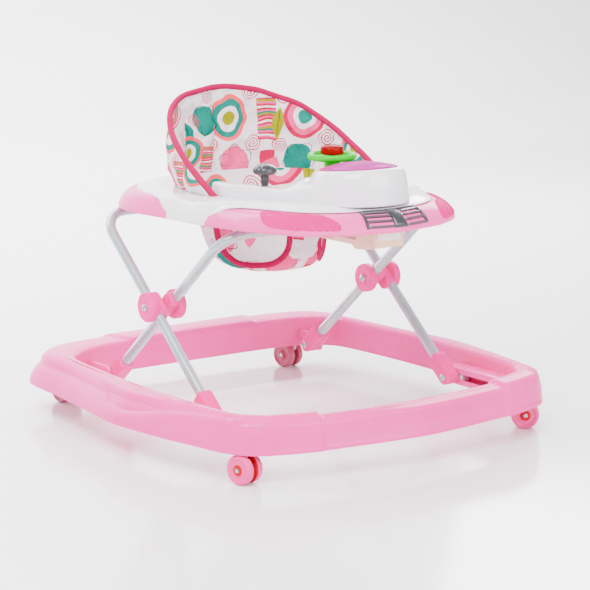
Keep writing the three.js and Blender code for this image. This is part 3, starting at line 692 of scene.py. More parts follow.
def build_bolts():
    """The pivot bolts, the pins in the feet and the blocks that the front pins slide in."""
    foot_z = CROSS.z - FOOT_REACH * math.sin(LEG_ANGLE)
    back_y, front_y = (CROSS.y + k * FOOT_REACH * math.cos(LEG_ANGLE) for k in (1, -1))
    block = [(-13.4, -7.4), (-12, -8), (12, -8), (13.4, -7.4), (14, -6), (14, 6), (13.4, 7.4), (12, 8),
             (-12, 8), (-13.4, 7.4), (-14, 6), (-14, -6)]
    for side, s in SIDES:
        low, high = span(s, 177.6, 240.4)
        profile = screw_head(low, -1)[::-1] + screw_head(high, 1)
        bolt = lathe_mesh("bolt_" + side, profile, [STEEL], steps=32, axis="X", at=(0, CROSS.y, CROSS.z),
                          sharp=30)
        settle(bolt, "rear_legs", "pivot_bolt_" + side)
        for place, x_head, x_end, y, body in (("back", 180.6, 213, back_y, "base"),
                                              ("front", 212.6, 252, front_y, "shoe_" + side)):
            profile = screw_head(x_head, -1, neck=4)[::-1] + [(4, x_end - 1), (3.4, x_end), (0, x_end)]
            pin = lathe_mesh("pin_%s_%s" % (place, side), [(r, s * x) for r, x in profile], [STEEL], steps=32,
                             axis="X", at=(0, y, foot_z), sharp=30)
            settle(pin, body, "foot_pin_%s_%s" % (place, side))
        shoe = prism_mesh("shoe_" + side, block, *span(s, 241, 257), [FORK_WHITE], bevel=1.0)
        cut(shoe, rod(-12, 3.3, 4.3, steps=24, axis="X" if s > 0 else "-X", at=(s * 249, 0, 0)))
        shoe.data.transform(Matrix.Translation(Vector((0, front_y, foot_z)) * MM))
        settle(shade(shoe), "shoe_" + side, "slide_shoe_" + side)


def side_box(name, side, x, y, z, mats, bevel):
    """A box on one side of the middle, from its near and far place on each axis."""
    x0, x1 = span(side, *x)
    return box_mesh(name, (x0, y[0], z[0]), (x1, y[1], z[1]), mats, bevel=bevel)


def build_slide_channels():
    """Moulded boxes on the hoop's inner walls that the front feet slide in."""
    for side, s in SIDES:
        box = side_box("hoop_channel_" + side, s, (237.8, 272), (-246, -98), (47, 75), [PINK], 2.2)
        cut(box, side_box("tool", s, (240.5, 258.5), (-241, -103), (52.48, 69.48), [], 0.4))
        cut(box, side_box("tool", s, (230, 245), (-241, -103), (55.98, 65.98), [], 1.0))
        settle(shade(box), "base")


def build_legs():
    build_tube("tube_outer", OUTER_X, LEG_UP, "front_legs")
    build_tube("tube_inner", INNER_X, LEG_UP_INNER, "rear_legs")
    for side, s in SIDES:
        build_foot("foot_outer_" + side, s * OUTER_X, "front_legs", LEG_UP)
        build_foot("foot_inner_" + side, s * INNER_X, "rear_legs", LEG_UP_INNER)
        build_clamp("clamp_outer_" + side, s * (OUTER_X - 0.2), (227, 240), s, "front_legs", LEG_UP)
        build_clamp("clamp_inner_" + side, s * (INNER_X + 0.2), (-191, -178), -s, "rear_legs", LEG_UP_INNER)


# ---------------------------------------------------------------- tray
TRAY_RIM = [(0, -285), (45, -277), (85, -268), (118, -251), (145, -230), (163, -200), (178, -165),
            (188, -138), (196, -110), (202, -85), (206, -60), (208.5, -30), (210, 0), (214, 35),
            (219, 70), (221.5, 95), (221, 118), (217, 143), (208, 165), (190, 190), (165, 212),
            (130, 234), (90, 250), (45, 260), (0, 263)]
OPENING_Y = -24
OPENING_X = 153
OPENING_BACK = 207
OPENING_FRONT = 58
OPENING_POWER = 2.3
TRAY_LOW = 338
TRAY_TOP = 366.2
COVER_TOP = 374
FENDER_RISE = TRAY_TOP - TRAY_LOW - 5.8
# the white cover's edge seen from above, +X half: inside the pink fender, out to the rim beside the seat
COVER_EDGE = [(0, -247), (40, -243), (70, -238), (97, -224), (118, -205), (134, -180), (147, -150),
              (160, -124), (176, -103), (192, -86), (201.5, -70), (205.3, -52), (207, -32), (208.8, -8),
              (210.6, 10), (210.6, 28), (206, 48), (199.5, 70), (194, 94), (190, 118), (185, 140),
              (176, 160), (165, 177), (154, 193), (146, 207), (137, 223), (122, 234.5), (90, 247.5),
              (44, 258), (0, 261)]
# stretch of the flank, along Y, where the rim is white as well
WHITE_FLANK = (-72, 21)
# where the front half's raised platform ends: how far back it reaches at each half width
PLATFORM = ((120, -24), (140, -16), (160, -13), (180, -20), (196, -34), (212, -56))


def egg(angle, grow=0.0):
    """Point of the seat opening's outline at an angle round its middle."""
    c, s = math.cos(angle), math.sin(angle)
    depth = (OPENING_BACK if s > 0 else OPENING_FRONT) + grow
    power = 2 / OPENING_POWER
    return np.array([math.copysign(abs(c) ** power, c) * (OPENING_X + grow),
                     OPENING_Y + math.copysign(abs(s) ** power, s) * depth])


def at_rays(path, count):
    """A closed outline resampled at equal angles round the opening's middle."""
    middle = np.array([0, OPENING_Y])
    arms = path - middle
    turn = np.unwrap(np.arctan2(arms[:, 1], arms[:, 0]))
    if turn[-1] < turn[0]:
        arms, turn = arms[::-1], turn[::-1]
    arms = np.vstack([arms, arms[:1]])
    turn = np.append(turn, turn[0] + TAU)
    want = turn[0] + (TAU * np.arange(count) / count - turn[0]) % TAU
    return np.stack([np.interp(want, turn, arms[:, k]) for k in (0, 1)], 1) + middle


def ray_outline(half, count):
    """An outline from its +X half, at equal angles round the opening's middle."""
    return at_rays(smooth_path(mirror_outline(half), 1600, closed=True), count)


def egg_rays(count, grow=0.0):
    """The opening's outline at the same angles."""
    return at_rays(np.array([egg(TAU * k / 2000 + 1e-4, grow) for k in range(2000)]), count)


def fender_slope(y):
    """How far the pink body's rounded edge reaches in from the rim: further at the front."""
    return 21 + 10 * smoothstep(-60, -150, y)


def shell_height(d, slope):
    """Height of the pink body's skin at a distance inside the rim."""
    t = min(max(d / slope, 0.0), 1.0) ** 0.8
    return TRAY_LOW + 5 + FENDER_RISE * math.sin(math.pi * t * 0.5)


def inward(outer, inner):
    """Unit vector from the rim to the opening, and the distance between them."""
    width = np.linalg.norm(inner - outer)
    return (inner - outer) / width, width


def build_tray_shell():
    """Pink body: rounded rim, long sloped fender, shallow top, hollow below."""
    count = 420
    rows = []
    for outer, inner in zip(ray_outline(TRAY_RIM, count), egg_rays(count, 0.5)):
        across, width = inward(outer, inner)
        slope = fender_slope(outer[1])
        pts = [(1.6, TRAY_LOW - 0.5), (0.4, TRAY_LOW + 0.6), (0, TRAY_LOW + 2.4), (0.2, TRAY_LOW + 4.4)]
        pts += [(d, shell_height(d, slope)) for d in np.linspace(0.04, 1, 20) ** 1.25 * slope]
        pts += [(slope + 3 + (width - slope - 9) * t, TRAY_TOP - 0.6 + 0.6 * min(1, t * 6))
                for t in np.linspace(0, 1, 8)]
        pts += [(width - 3.2, TRAY_TOP - 0.1), (width - 1.2, TRAY_TOP - 0.9), (width - 0.2, TRAY_TOP - 2.6),
                (width, TRAY_TOP - 6), (width, TRAY_LOW + 6), (width, TRAY_LOW), (width - 2.5, TRAY_LOW),
                (width - 3, TRAY_TOP - 5), (slope + 6, TRAY_TOP - 4), (slope * 0.62 + 2.5, TRAY_TOP - 9),
                (5, TRAY_LOW + 9), (3.2, TRAY_LOW + 1)]
        rows.append([(*(outer + across * s), z) for s, z in pts])
    shell = sheet_mesh("tray_body", rows, [TRAY_PINK, WHITE], close_u=True, close_v=True, sharp=50)
    for face in shell.data.polygons:
        face.material_index = int(WHITE_FLANK[0] < face.center.y / MM < WHITE_FLANK[1])
    settle(fix_normals(shell), "tray", "tray_shell")


def build_tray_cover():
    """White play surface: flush with the pink body at its seam, rising to the opening's lip."""
    count = 480
    rows = []
    outlines = (ray_outline(COVER_EDGE, count), egg_rays(count), ray_outline(TRAY_RIM, count))
    for outer, inner, far in zip(*outlines):
        across, width = inward(outer, inner)
        room = np.linalg.norm(far - outer)
        slope = fender_slope(far[1])

        def skin(s):
            point = outer + across * s
            d = room + s
            rise = smoothstep(max(room + 1, 12), max(room + 1, 12) + 30, d)
            back = np.interp(abs(point[0]), [p[0] for p in PLATFORM], [p[1] for p in PLATFORM])
            platform = 2.2 * smoothstep(2.5, -2.5, point[1] - back) * smoothstep(8, 20, d)
            return shell_height(d, slope) + 0.9 + (COVER_TOP - TRAY_TOP - 2.9) * rise + platform

        low, lip = skin(0.0), skin(width - 8)
        flat = min(58, width - 12)
        pts = [(0.1, low - 1.6), (0.0, low - 0.7), (0.5, low - 0.1)]
        pts += [(s, skin(s)) for s in np.linspace(1.2, flat, 26)]
        pts += [(s, skin(s)) for s in ((flat + width - 8) / 2, width - 8)]
        pts += [(width - 6, lip + 0.5), (width - 3, lip + 0.3), (width - 1.2, lip - 0.6),
                (width - 0.3, lip - 2.2), (width, lip - 4), (width, TRAY_TOP - 8),
                (width - 1.5, TRAY_TOP - 8), (width - 2.2, lip - 5)]
        pts += [(s, skin(s) - thick) for s, thick in ((flat, 2.2), (30, 2.0), (14, 1.9), (5, 1.8))]
        rows.append([(*(outer + across * s), z) for s, z in pts])
    cover = sheet_mesh("tray_top_cover", rows, [WHITE], close_u=True, close_v=True, sharp=50)
    settle(fix_normals(cover), "tray", "tray_cover")


# ---------------------------------------------------------------- play console
DOME_Y = -178
DOME_Z = 420.5
DOME_TILT = math.radians(5)
LENS_R = 58
WHEEL_Y = -113
LEVER_AT = (-81, -52, 387)
# the lock lever's pin, in (y, z)
LOCK_PIN = (-242, 318)
CONSOLE_OUTER = [(0, -230), (40, -222), (64, -196), (84, -150), (120, -95), (146, -50), (150, -12), (146, -7)]
CONSOLE_INNER = [(136, -7), (129, -16), (116, -42), (84, -69), (44, -85), (0, -91)]


def dome_frame():
    return Matrix.Translation(Vector((0, DOME_Y, DOME_Z)) * MM) @ Matrix.Rotation(-DOME_TILT, 4, "X")


def console_slab():
    """The console's flat body, with a rounded upper edge."""
    outline = smooth_path(mirror_outline(CONSOLE_OUTER + CONSOLE_INNER), 240, closed=True)
    along = np.roll(outline, -1, 0) - np.roll(outline, 1, 0)
    out = np.stack([along[:, 1], -along[:, 0]], 1) / np.linalg.norm(along, axis=1)[:, None]
    rows = []
    for z, inset in ((371.5, 0), (380, 0), (388, 0.6), (391.5, 1.8), (392.6, 4.0)):
        rows.append([(x, y, z) for x, y in outline - out * inset])
    return fix_normals(sheet_mesh("console_slab", rows, [WHITE], close_v=True, caps=True))


def console_dome():
    """The round tower in front, leaning back a little."""
    rows = []
    tilt = math.tan(DOME_TILT)
    flank = ((0, 79.5), (0.15, 77.5), (0.35, 76), (0.55, 74.5), (0.72, 72.3), (0.85, 69.8), (0.94, 67),
             (1.0, 63.5))
    for t, r in flank:
        ring = []
        for k in range(120):
            a = TAU * k / 120
            x, y = r * math.cos(a), DOME_Y + 3 * (1 - t) + r * math.sin(a)
            top = DOME_Z - 0.6 - (y - DOME_Y) * tilt
            ring.append((x, y, 371.5 + (top - 371.5) * t))
        rows.append(ring)
    return fix_normals(sheet_mesh("console_dome", rows, [WHITE], close_v=True, caps=True))


def console_body():
    """Slab and dome as one moulding: the slab rises into the dome and sags between its arms."""
    body = join("play_console_body", [console_slab(), console_dome()])
    remesh(body, 1.9)
    near_dome = body.vertex_groups.new(name="near_dome")
    for v in body.data.vertices:
        x, y, z = v.co / MM
        away = math.hypot(x, y - DOME_Y)
        if z > 380:
            lift = 9 * (1 - smoothstep(82, 112, away)) * smoothstep(76, 82, away) * smoothstep(385, 391, z)
            sag = 4.5 * math.exp(-((abs(x) - 92) / 22) ** 2)
            sag *= smoothstep(380, 391, z) * (1 - smoothstep(84, 60, away))
            z += lift - sag
            v.co.z = z * MM
        weight = smoothstep(132, 100, away) * smoothstep(415, 405, z) * smoothstep(376, 382, z)
        near_dome.add([v.index], float(weight), "REPLACE")
    for rounds, group in ((5, ""), (60, "near_dome")):
        mod = body.modifiers.new("smooth", "SMOOTH")
        mod.factor = 0.5
        mod.iterations = rounds
        mod.vertex_group = group
    return apply_modifiers(body)


def build_console():
    body = console_body()
    seat = lathe_mesh("tool", [(0, -3.4), (LENS_R + 0.6, -3.4), (LENS_R + 0.8, 12), (0, 12)], [], steps=96)
    seat.data.transform(dome_frame())
    cut(body, seat)
    cut(body, rod(378, 450, 14, steps=48, at=(0, WHEEL_Y, 0)))
    x, y, z = LEVER_AT
    cut(body, box_mesh("tool", (x - 6, y - 15, z - 12), (x + 6, y + 12, z + 20), [], bevel=1.5))
    body.data.materials.clear()
    body.data.materials.append(WHITE)
    settle(shade(body, 32), "tray", "play_console")
    profile = [(14.2, 386), (14.2, 398), (15.4, 401), (17.6, 401), (19, 399), (19.4, 392)]
    collar = lathe_mesh("steering_collar", profile, [WHITE], steps=48, at=(0, WHEEL_Y, 0))
    settle(collar, "tray")


def dome_disc(name, profile, mat):
    """A round part in the dome's top, notched by the steering column."""
    disc = lathe_mesh(name, profile, [mat], steps=96)
    disc.data.transform(dome_frame())
    cut(disc, rod(-60, 60, 17, steps=48, at=(0, WHEEL_Y, 420)))
    return shade(disc, 30)


def build_lens():
    """Tinted cover with a bead round it and a bright block on one side, over the striped picture."""
    profile = [(0, 9.6), (14, 9.1), (28, 7.6), (40, 5.4), (50, 2.9), (54.5, 1.5), (56.5, 1.3), (57.6, 0.4),
               (LENS_R, -1.2), (LENS_R, -2.2), (53, -0.6), (40, 3.0), (28, 5.2), (14, 6.7), (0, 7.2)]
    lens = dome_disc("lens_cover", profile, LENS)
    lens.data.materials.append(LAMP)
    bright = len(lens.data.materials) - 1
    for face in lens.data.polygons:
        x, y = face.center.x / MM, face.center.y / MM - DOME_Y
        if math.hypot(x, y) > 38 and 126 < math.degrees(math.atan2(y, x)) < 158:
            face.material_index = bright
    settle(lens, "tray", "dome_lens")
    film = [(0, -2.5), (LENS_R - 1, -2.5), (LENS_R - 1, -3.2), (0, -3.2)]
    settle(dome_disc("picture_film_disc", film, PICTURE), "tray", "picture_disc")


def tinted_lens(name, colour, deep, grid=0.0):
    """Clear tinted plastic, with fine square prisms moulded inside where asked."""
    g = Graph(name)
    where = g.coords()
    cloud = g.noise(where, 30.0, 3.0)
    height = g.noise(where, 500.0)
    strength = 0.05
    if grid:
        prisms = weave(g, where, grid)
        height = g.math("ADD", prisms, height)
        cloud = g.spread(prisms, 0.2, 0.8, -1.0, 1.0)
        strength = 0.9
    return g.set(Base_Color=g.mix(g.spread(cloud, 0, 1, 0.3, 0.7), rgb(colour), rgb(deep)),
                 Roughness=g.spread(cloud, 0.08, 0.15), Normal=g.bump(height, strength, 0.0008),
                 Specular_IOR_Level=0.0, Transmission_Weight=0.0 if grid else 0.15, IOR=1.46,
                 Coat_Weight=0.05, Coat_Roughness=0.04)


def picture_print():
    """Bright bands under the dome's cover."""
    g = Graph("picture_print")
    where = g.coords()
    wave = g.fill(g.node("ShaderNodeTexWave", wave_type="BANDS", bands_direction="DIAGONAL"), Vector=where,
                  Scale=9.0, Distortion=6.0, Detail=1.0)
    inks = ("F7A9D6", "9A7BD0", "F2F0F2", "F05CB0", "6F9AD8", "F6C6E2", "E8408C")
    bands = g.ramp(wave.outputs["Fac"], inks, [k / len(inks) for k in range(len(inks))])
    fade = g.noise(where, 40.0)
    return g.set(Base_Color=g.mix(g.spread(fade, 0.0, 0.5), bands, rgb("F07CC4")),
                 Roughness=g.spread(fade, 0.35, 0.5))


LENS = tinted_lens("magenta_lens", "B81C92", "AE168A")
LAMP = tinted_lens("lamp_lens", "FA0A94", "D80070", grid=2100.0)
PICTURE = picture_print()


def fender(rim, hole, k, t, lift):
    """Point on the tray's sloping front edge: k counts round the rim, t goes up the slope."""
    n = len(rim)
    i = int(math.floor(k)) % n
    f = k - math.floor(k)
    outer, inner = (edge[i] * (1 - f) + edge[(i + 1) % n] * f for edge in (rim, hole))
    across, _ = inward(outer, inner)
    slope = fender_slope(outer[1])
    turn = math.pi * t * 0.5
    rise = FENDER_RISE * math.cos(turn) * math.pi * 0.5
    normal = np.array([*(-across * rise), slope * 1.25 * t ** 0.25])
    normal *= lift / np.linalg.norm(normal)
    height = TRAY_LOW + 5 + FENDER_RISE * math.sin(turn)
    return np.array([*(outer + across * slope * t ** 1.25), height]) + normal


def fender_patch(name, first, last, low, high, height, mat, nu=90, nv=24, edge=0.08):
    """A moulded plate on the slope between two plan points and two heights up the slope."""
    count = 720
    rim = ray_outline(TRAY_RIM, count)
    hole = egg_rays(count, 0.5)
    a, b = ((math.atan2(y - OPENING_Y, x) % TAU) / TAU * count for x, y in (first, last))
    ring = []
    for u in np.linspace(0, 1, nu):
        k = a + (b - a) * u
        top, under = [], []
        for v in np.linspace(0, 1, nv):
            t = low(u) + (high(u) - low(u)) * v
            near = min(u / edge, (1 - u) / edge, v / 0.16, (1 - v) / 0.16, 1)
            lift = -0.4 + (height + 0.4) * math.sin(math.pi / 2 * max(near, 0)) ** 0.6
            top.append(fender(rim, hole, k, t, lift))
            under.append(fender(rim, hole, k, t, -1.2))
        ring.append(top + under[::-1])
    return fix_normals(sheet_mesh(name, ring, [mat], close_v=True, caps=True, sharp=60))


def height_curve(points):
    """Smooth height along a plate, from a few (along, height) pairs."""
    path = smooth_path([(u, t, 0) for u, t in points], 80)
    return lambda u: float(np.interp(u, path[:, 0], path[:, 1]))


LAMP_LOW = height_curve([(0, 0.74), (0.03, 0.5), (0.08, 0.28), (0.16, 0.14), (0.3, 0.08), (0.6, 0.06),
                         (0.93, 0.06), (1, 0.12)])
LAMP_HIGH = height_curve([(0, 0.9), (0.05, 0.98), (0.2, 1.0), (0.5, 1.0), (0.68, 0.97), (0.8, 0.86),
                          (0.9, 0.62), (0.97, 0.38), (1, 0.24)])


def build_lamps():
    for side, s in SIDES:
        lamp = fender_patch("lamp_" + side, (s * 172, -161), (s * 94, -263), LAMP_LOW, LAMP_HIGH, 2.0, LAMP)
        settle(lamp, "tray", "headlight_" + side)


def build_grille():
    """Dark grille: five bars on each side of a blank middle badge, with an end post beyond them."""
    pieces = []
    rows = 5
    for k in range(rows):
        at = 0.12 + 0.86 * k / (rows - 1)
        for first, last in (((-54, -275), (-11, -283)), ((11, -283), (54, -275))):
            pieces.append(fender_patch("bar", first, last, lambda u: at - 0.045, lambda u: at + 0.045, 3.0,
                                       DARK_EDGE, nu=30, nv=8))
    for first, last in (((-57, -274), (-52.5, -275)), ((52.5, -275), (57, -274))):
        pieces.append(fender_patch("post", first, last, lambda u: 0.06, lambda u: 1.08, 3.4, DARK,
                                   nu=10, nv=30, edge=0.3))
    pieces.append(fender_patch("badge", (-12, -283), (12, -283), lambda u: 0.05, lambda u: 1.08, 3.8, DARK,
                               nu=24, nv=30, edge=0.25))
    settle(shade(join("grille_front", pieces), 45), "tray", "grille")


# ---------------------------------------------------------------- toys on the console
def build_steering():
    grip = [(28.7, 429.6), (29.4, 427.4), (31.2, 426.0), (33.4, 425.6), (35.6, 426.6), (37.2, 429),
            (37.7, 431.6), (37.0, 434), (35.2, 435.6), (32.8, 435.8), (30.4, 434.4), (29.1, 432.2),
            (28.7, 429.6)]
    hub = [(0, 381.5), (11.6, 381.5), (12, 382), (12, 408), (12, 412), (12, 421), (12.4, 425), (13.5, 427),
           (14, 429), (13.4, 431), (7, 431), (6.4, 430), (6.4, 418), (0, 418)]
    ring = lathe_mesh("steering_ring", grip, [GREEN], steps=96, at=(0, WHEEL_Y, 0))
    parts = []
    for k in range(3):
        spoke = box_mesh("spoke", (4, -4.5, 427), (31.8, 4.5, 430.6), [GREEN], bevel=1.6)
        turn = Matrix.Rotation(math.pi / 2 + k * TAU / 3, 4, "Z")
        spoke.data.transform(Matrix.Translation(Vector((0, WHEEL_Y, 0)) * MM) @ turn)
        parts.append(spoke)
    parts.append(lathe_mesh("hub", hub, [GREEN], steps=64, at=(0, WHEEL_Y, 0)))
    for part in parts:
        cut(ring, part, "UNION")
    settle(shade(ring, 35), "steering_wheel", "steering_wheel")


def build_horn():
    """Red button: scalloped flank, dished top with a raised middle."""
    steps = 144
    rings = [(0, 422), (4.8, 422), (4.8, 434.2), (16.6, 434.2), (17.6, 435), (18, 436.4), (17.6, 441),
             (17.2, 444.2), (16.2, 446.2), (14.6, 447), (13.2, 446.6), (12.2, 445.4), (9.5, 445.2),
             (8.4, 446.4), (6.6, 447), (0, 447.2)]
    rows = []
    for k in range(steps):
        a = TAU * k / steps
        wave = 0.75 * abs(math.sin(6 * a))
        waved = [(r - wave if r > 14 else r, z) for r, z in rings]
        rows.append([(r * math.cos(a), WHEEL_Y + r * math.sin(a), z) for r, z in waved])
    horn = fix_normals(sheet_mesh("horn", rows, [RED], close_u=True, sharp=50))
    settle(horn, "horn_button", "horn_button")


def build_gear_lever():
    """Mushroom knob with a lobed cap on a tapered stem."""
    x, y, z = LEVER_AT
    steps = 96
    cap = [(0, 0.4), (5, 0.3), (12, 0.6), (16.2, 1.6), (18.4, 3.6), (19, 6.2), (18.3, 9.4), (16.0, 12.4),
           (12.4, 14.9), (8, 16.6), (4, 17.3), (0, 17.5)]
    neck = [(0, -7.6), (4.2, -7.6), (5.0, 0), (6.2, 4), (6.4, 10), (6.8, 14), (9, 16.2), (0, 17)]
    rows = []
    for k in range(steps):
        a = TAU * k / steps
        lobe = 1 - 0.07 * math.exp(-(math.sin(a - 0.5) / 0.16) ** 2)
        u, v = lobe * math.cos(a), lobe * math.sin(a) * 0.92
        rows.append([(x + r * u, y + r * v, z + 15.2 + h) for r, h in cap])
    knob = fix_normals(sheet_mesh("gear_knob", rows, [DARK], close_u=True, sharp=60))
    cut(knob, lathe_mesh("stem", neck, [DARK], steps=32, at=(x, y, z)), "UNION")
    settle(shade(knob, 50), "gear_lever", "gear_lever")


# ---------------------------------------------------------------- under the tray
def build_rack():
    """Height rack: two notched cheeks, a front wall and the roof, with its blank label."""
    bar_y = CROSS.y - TOP_REACH * math.cos(LEG_ANGLE)
    bar_z = CROSS.z + TOP_REACH * math.sin(LEG_ANGLE)
    outline = [(-92, 316), (-92, 343), (-94, 345), (-252, 345), (-254, 343), (-254, 312), (-250, 309.5),
               (-208, 304), (-202, 306), (-198, 310), (-124, 316)]
    rack = prism_mesh("rack", outline, -27, 27, [BEIGE], bevel=0.9)
    cut(rack, box_mesh("tool", (-24.4, -251.4, 290), (24.4, -80, 342.4), [], bevel=1.2))
    cut(rack, box_mesh("tool", (-40, -208, bar_z - 8.8), (40, -80, bar_z + 8.8), [], bevel=0.8))
    for k in range(3):
        cut(rack, rod(-40, 40, 8.8, steps=48, axis="X", at=(0, bar_y - 20 * k, bar_z + 2)))
    cut(rack, rod(-40, 40, 2.9, steps=24, axis="X", at=(0, *LOCK_PIN)))
    for s in (-1, 1):
        for k in range(4):
            y = -236 + 9 * k
            cut(rack, side_box("rib", s, (26.6, 28.2), (y, y + 1.4), (322, 344), [BEIGE], 0.4), "UNION")
    settle(shade(rack, 30), "tray", "height_rack")
    label = box_mesh("rack_label", (-22, -254.7, 322), (20, -254.05, 341), [LABEL], bevel=0.25, segments=2)
    settle(label, "tray")


def build_lock_lever():
    outline = [(-247, 313), (-243, 312.2), (-182, 308.6), (-104.4, 308.6), (-104, 309.4), (-104, 312.2),
               (-182, 312.4), (-236, 317.5), (-238, 322), (-242, 323.4), (-246, 322.5), (-248, 318)]
    lever = prism_mesh("rack_lever", outline, -22.6, 22.6, [BEIGE], bevel=0.7)
    profile = [(0, -28.6), (2.2, -28.6), (2.4, -28), (2.4, 28), (2.2, 28.6), (0, 28.6)]
    cut(lever, lathe_mesh("pin", profile, [BEIGE], steps=24, axis="X", at=(0, *LOCK_PIN)), "UNION")
    settle(shade(lever, 30), "lock_lever", "lock_lever")


def build_clips_and_hooks():
    hinge_y = CROSS.y + TOP_REACH * math.cos(LEG_ANGLE)
    hinge_z = CROSS.z + TOP_REACH * math.sin(LEG_ANGLE)
    saddle = [(-13, 35.4), (-13, -6), (-11, -10.5), (-7, -12), (7, -12), (11, -10.5), (13, -6), (13, 35.4)]
    finger = [(-8, 361), (8, 361), (8, 348), (6, 344), (3, 343), (-3, 343), (-6, 344), (-8, 348)]
    for side, s in SIDES:
        outline = [(hinge_y + y, hinge_z + z) for y, z in saddle]
        clip = prism_mesh("clip_" + side, outline, *span(s, 95, 119), [FORK_WHITE], bevel=1.2)
        cut(clip, rod(-40, 40, 8.4, steps=48, axis="X", at=(s * 107, hinge_y, hinge_z)))
        settle(shade(clip, 32), "tray", "tray_clip_" + side)
        for place, x, y in (("front", 140, 28), ("back", 148, 118)):
            outline = [(y + along, z) for along, z in finger]
            name = "hook_%s_%s" % (place, side)
            hook = prism_mesh(name, outline, s * x - 2, s * x + 2, [FORK_WHITE], bevel=0.8)
            settle(hook, "tray", "seat_" + name)


# ---------------------------------------------------------------- printed fabric
INK = {"magenta": "C4004C", "pink": "F4508C", "coral": "F4525C", "teal": "0A8272", "olive": "989E00",
       "white": "F3EFF0", "red": "BE002C", "ground": "F1E9ED", "black": "1C1318"}
# the print's motifs on one tile: place along and up the cloth, half sizes, turn (degrees)
OVALS = [(16, 84, 31, 37, -12, ("olive", "white", "teal", "coral")),
         (138, 84, 34, 34, 10, ("teal", "white", "pink", "magenta")),
         (-66, 35, 30, 26, 20, ("olive", "white", "teal", "coral")),
         (235, 40, 30, 32, -8, ("olive", "white", "teal", "coral"))]
ROSES = [(56, 41, 14), (100, 40, 13), (53, 124, 14), (178, 52, 15), (-20, 121, 11), (-13, 41, 12),
         (-51, 85, 11), (103, 116, 12), (-98, 60, 12), (205, 92, 13), (-113, 20, 11), (250, 96, 12),
         (200, 8, 11)]
FLOWERS = [(25, 12, 30, "pink"), (131, 16, 28, "teal"), (-30, 84, 26, "teal"), (222, 132, 24, "pink")]
STRIPES = [(78, 80, 15, 34, 2), (-27, 20, 13, 22, -4), (-113, 105, 26, 15, 32), (-150, 30, 12, 34, -12)]
BLOCKS = [(81, 14, 12, 15, 4, "magenta"), (84, 4, 16, 9, 20, "pink")]
LEAVES = [(-64, 62, 26, 10, -68, "teal"), (96, 74, 26, 9, 84, "olive"), (-140, 84, 24, 10, 75, "olive"),
          (160, 128, 24, 10, 20, "olive")]
STRIPE_INKS = ("magenta", "pink", "white", "magenta", "pink", "teal", "olive", "pink", "magenta", "white",
               "red", "pink", "magenta", "olive", "teal", "pink", "red", "white", "magenta", "pink",
               "olive", "magenta")
TILE_U = 430
TILE_V = 172
TILE_START = (-162, -14)


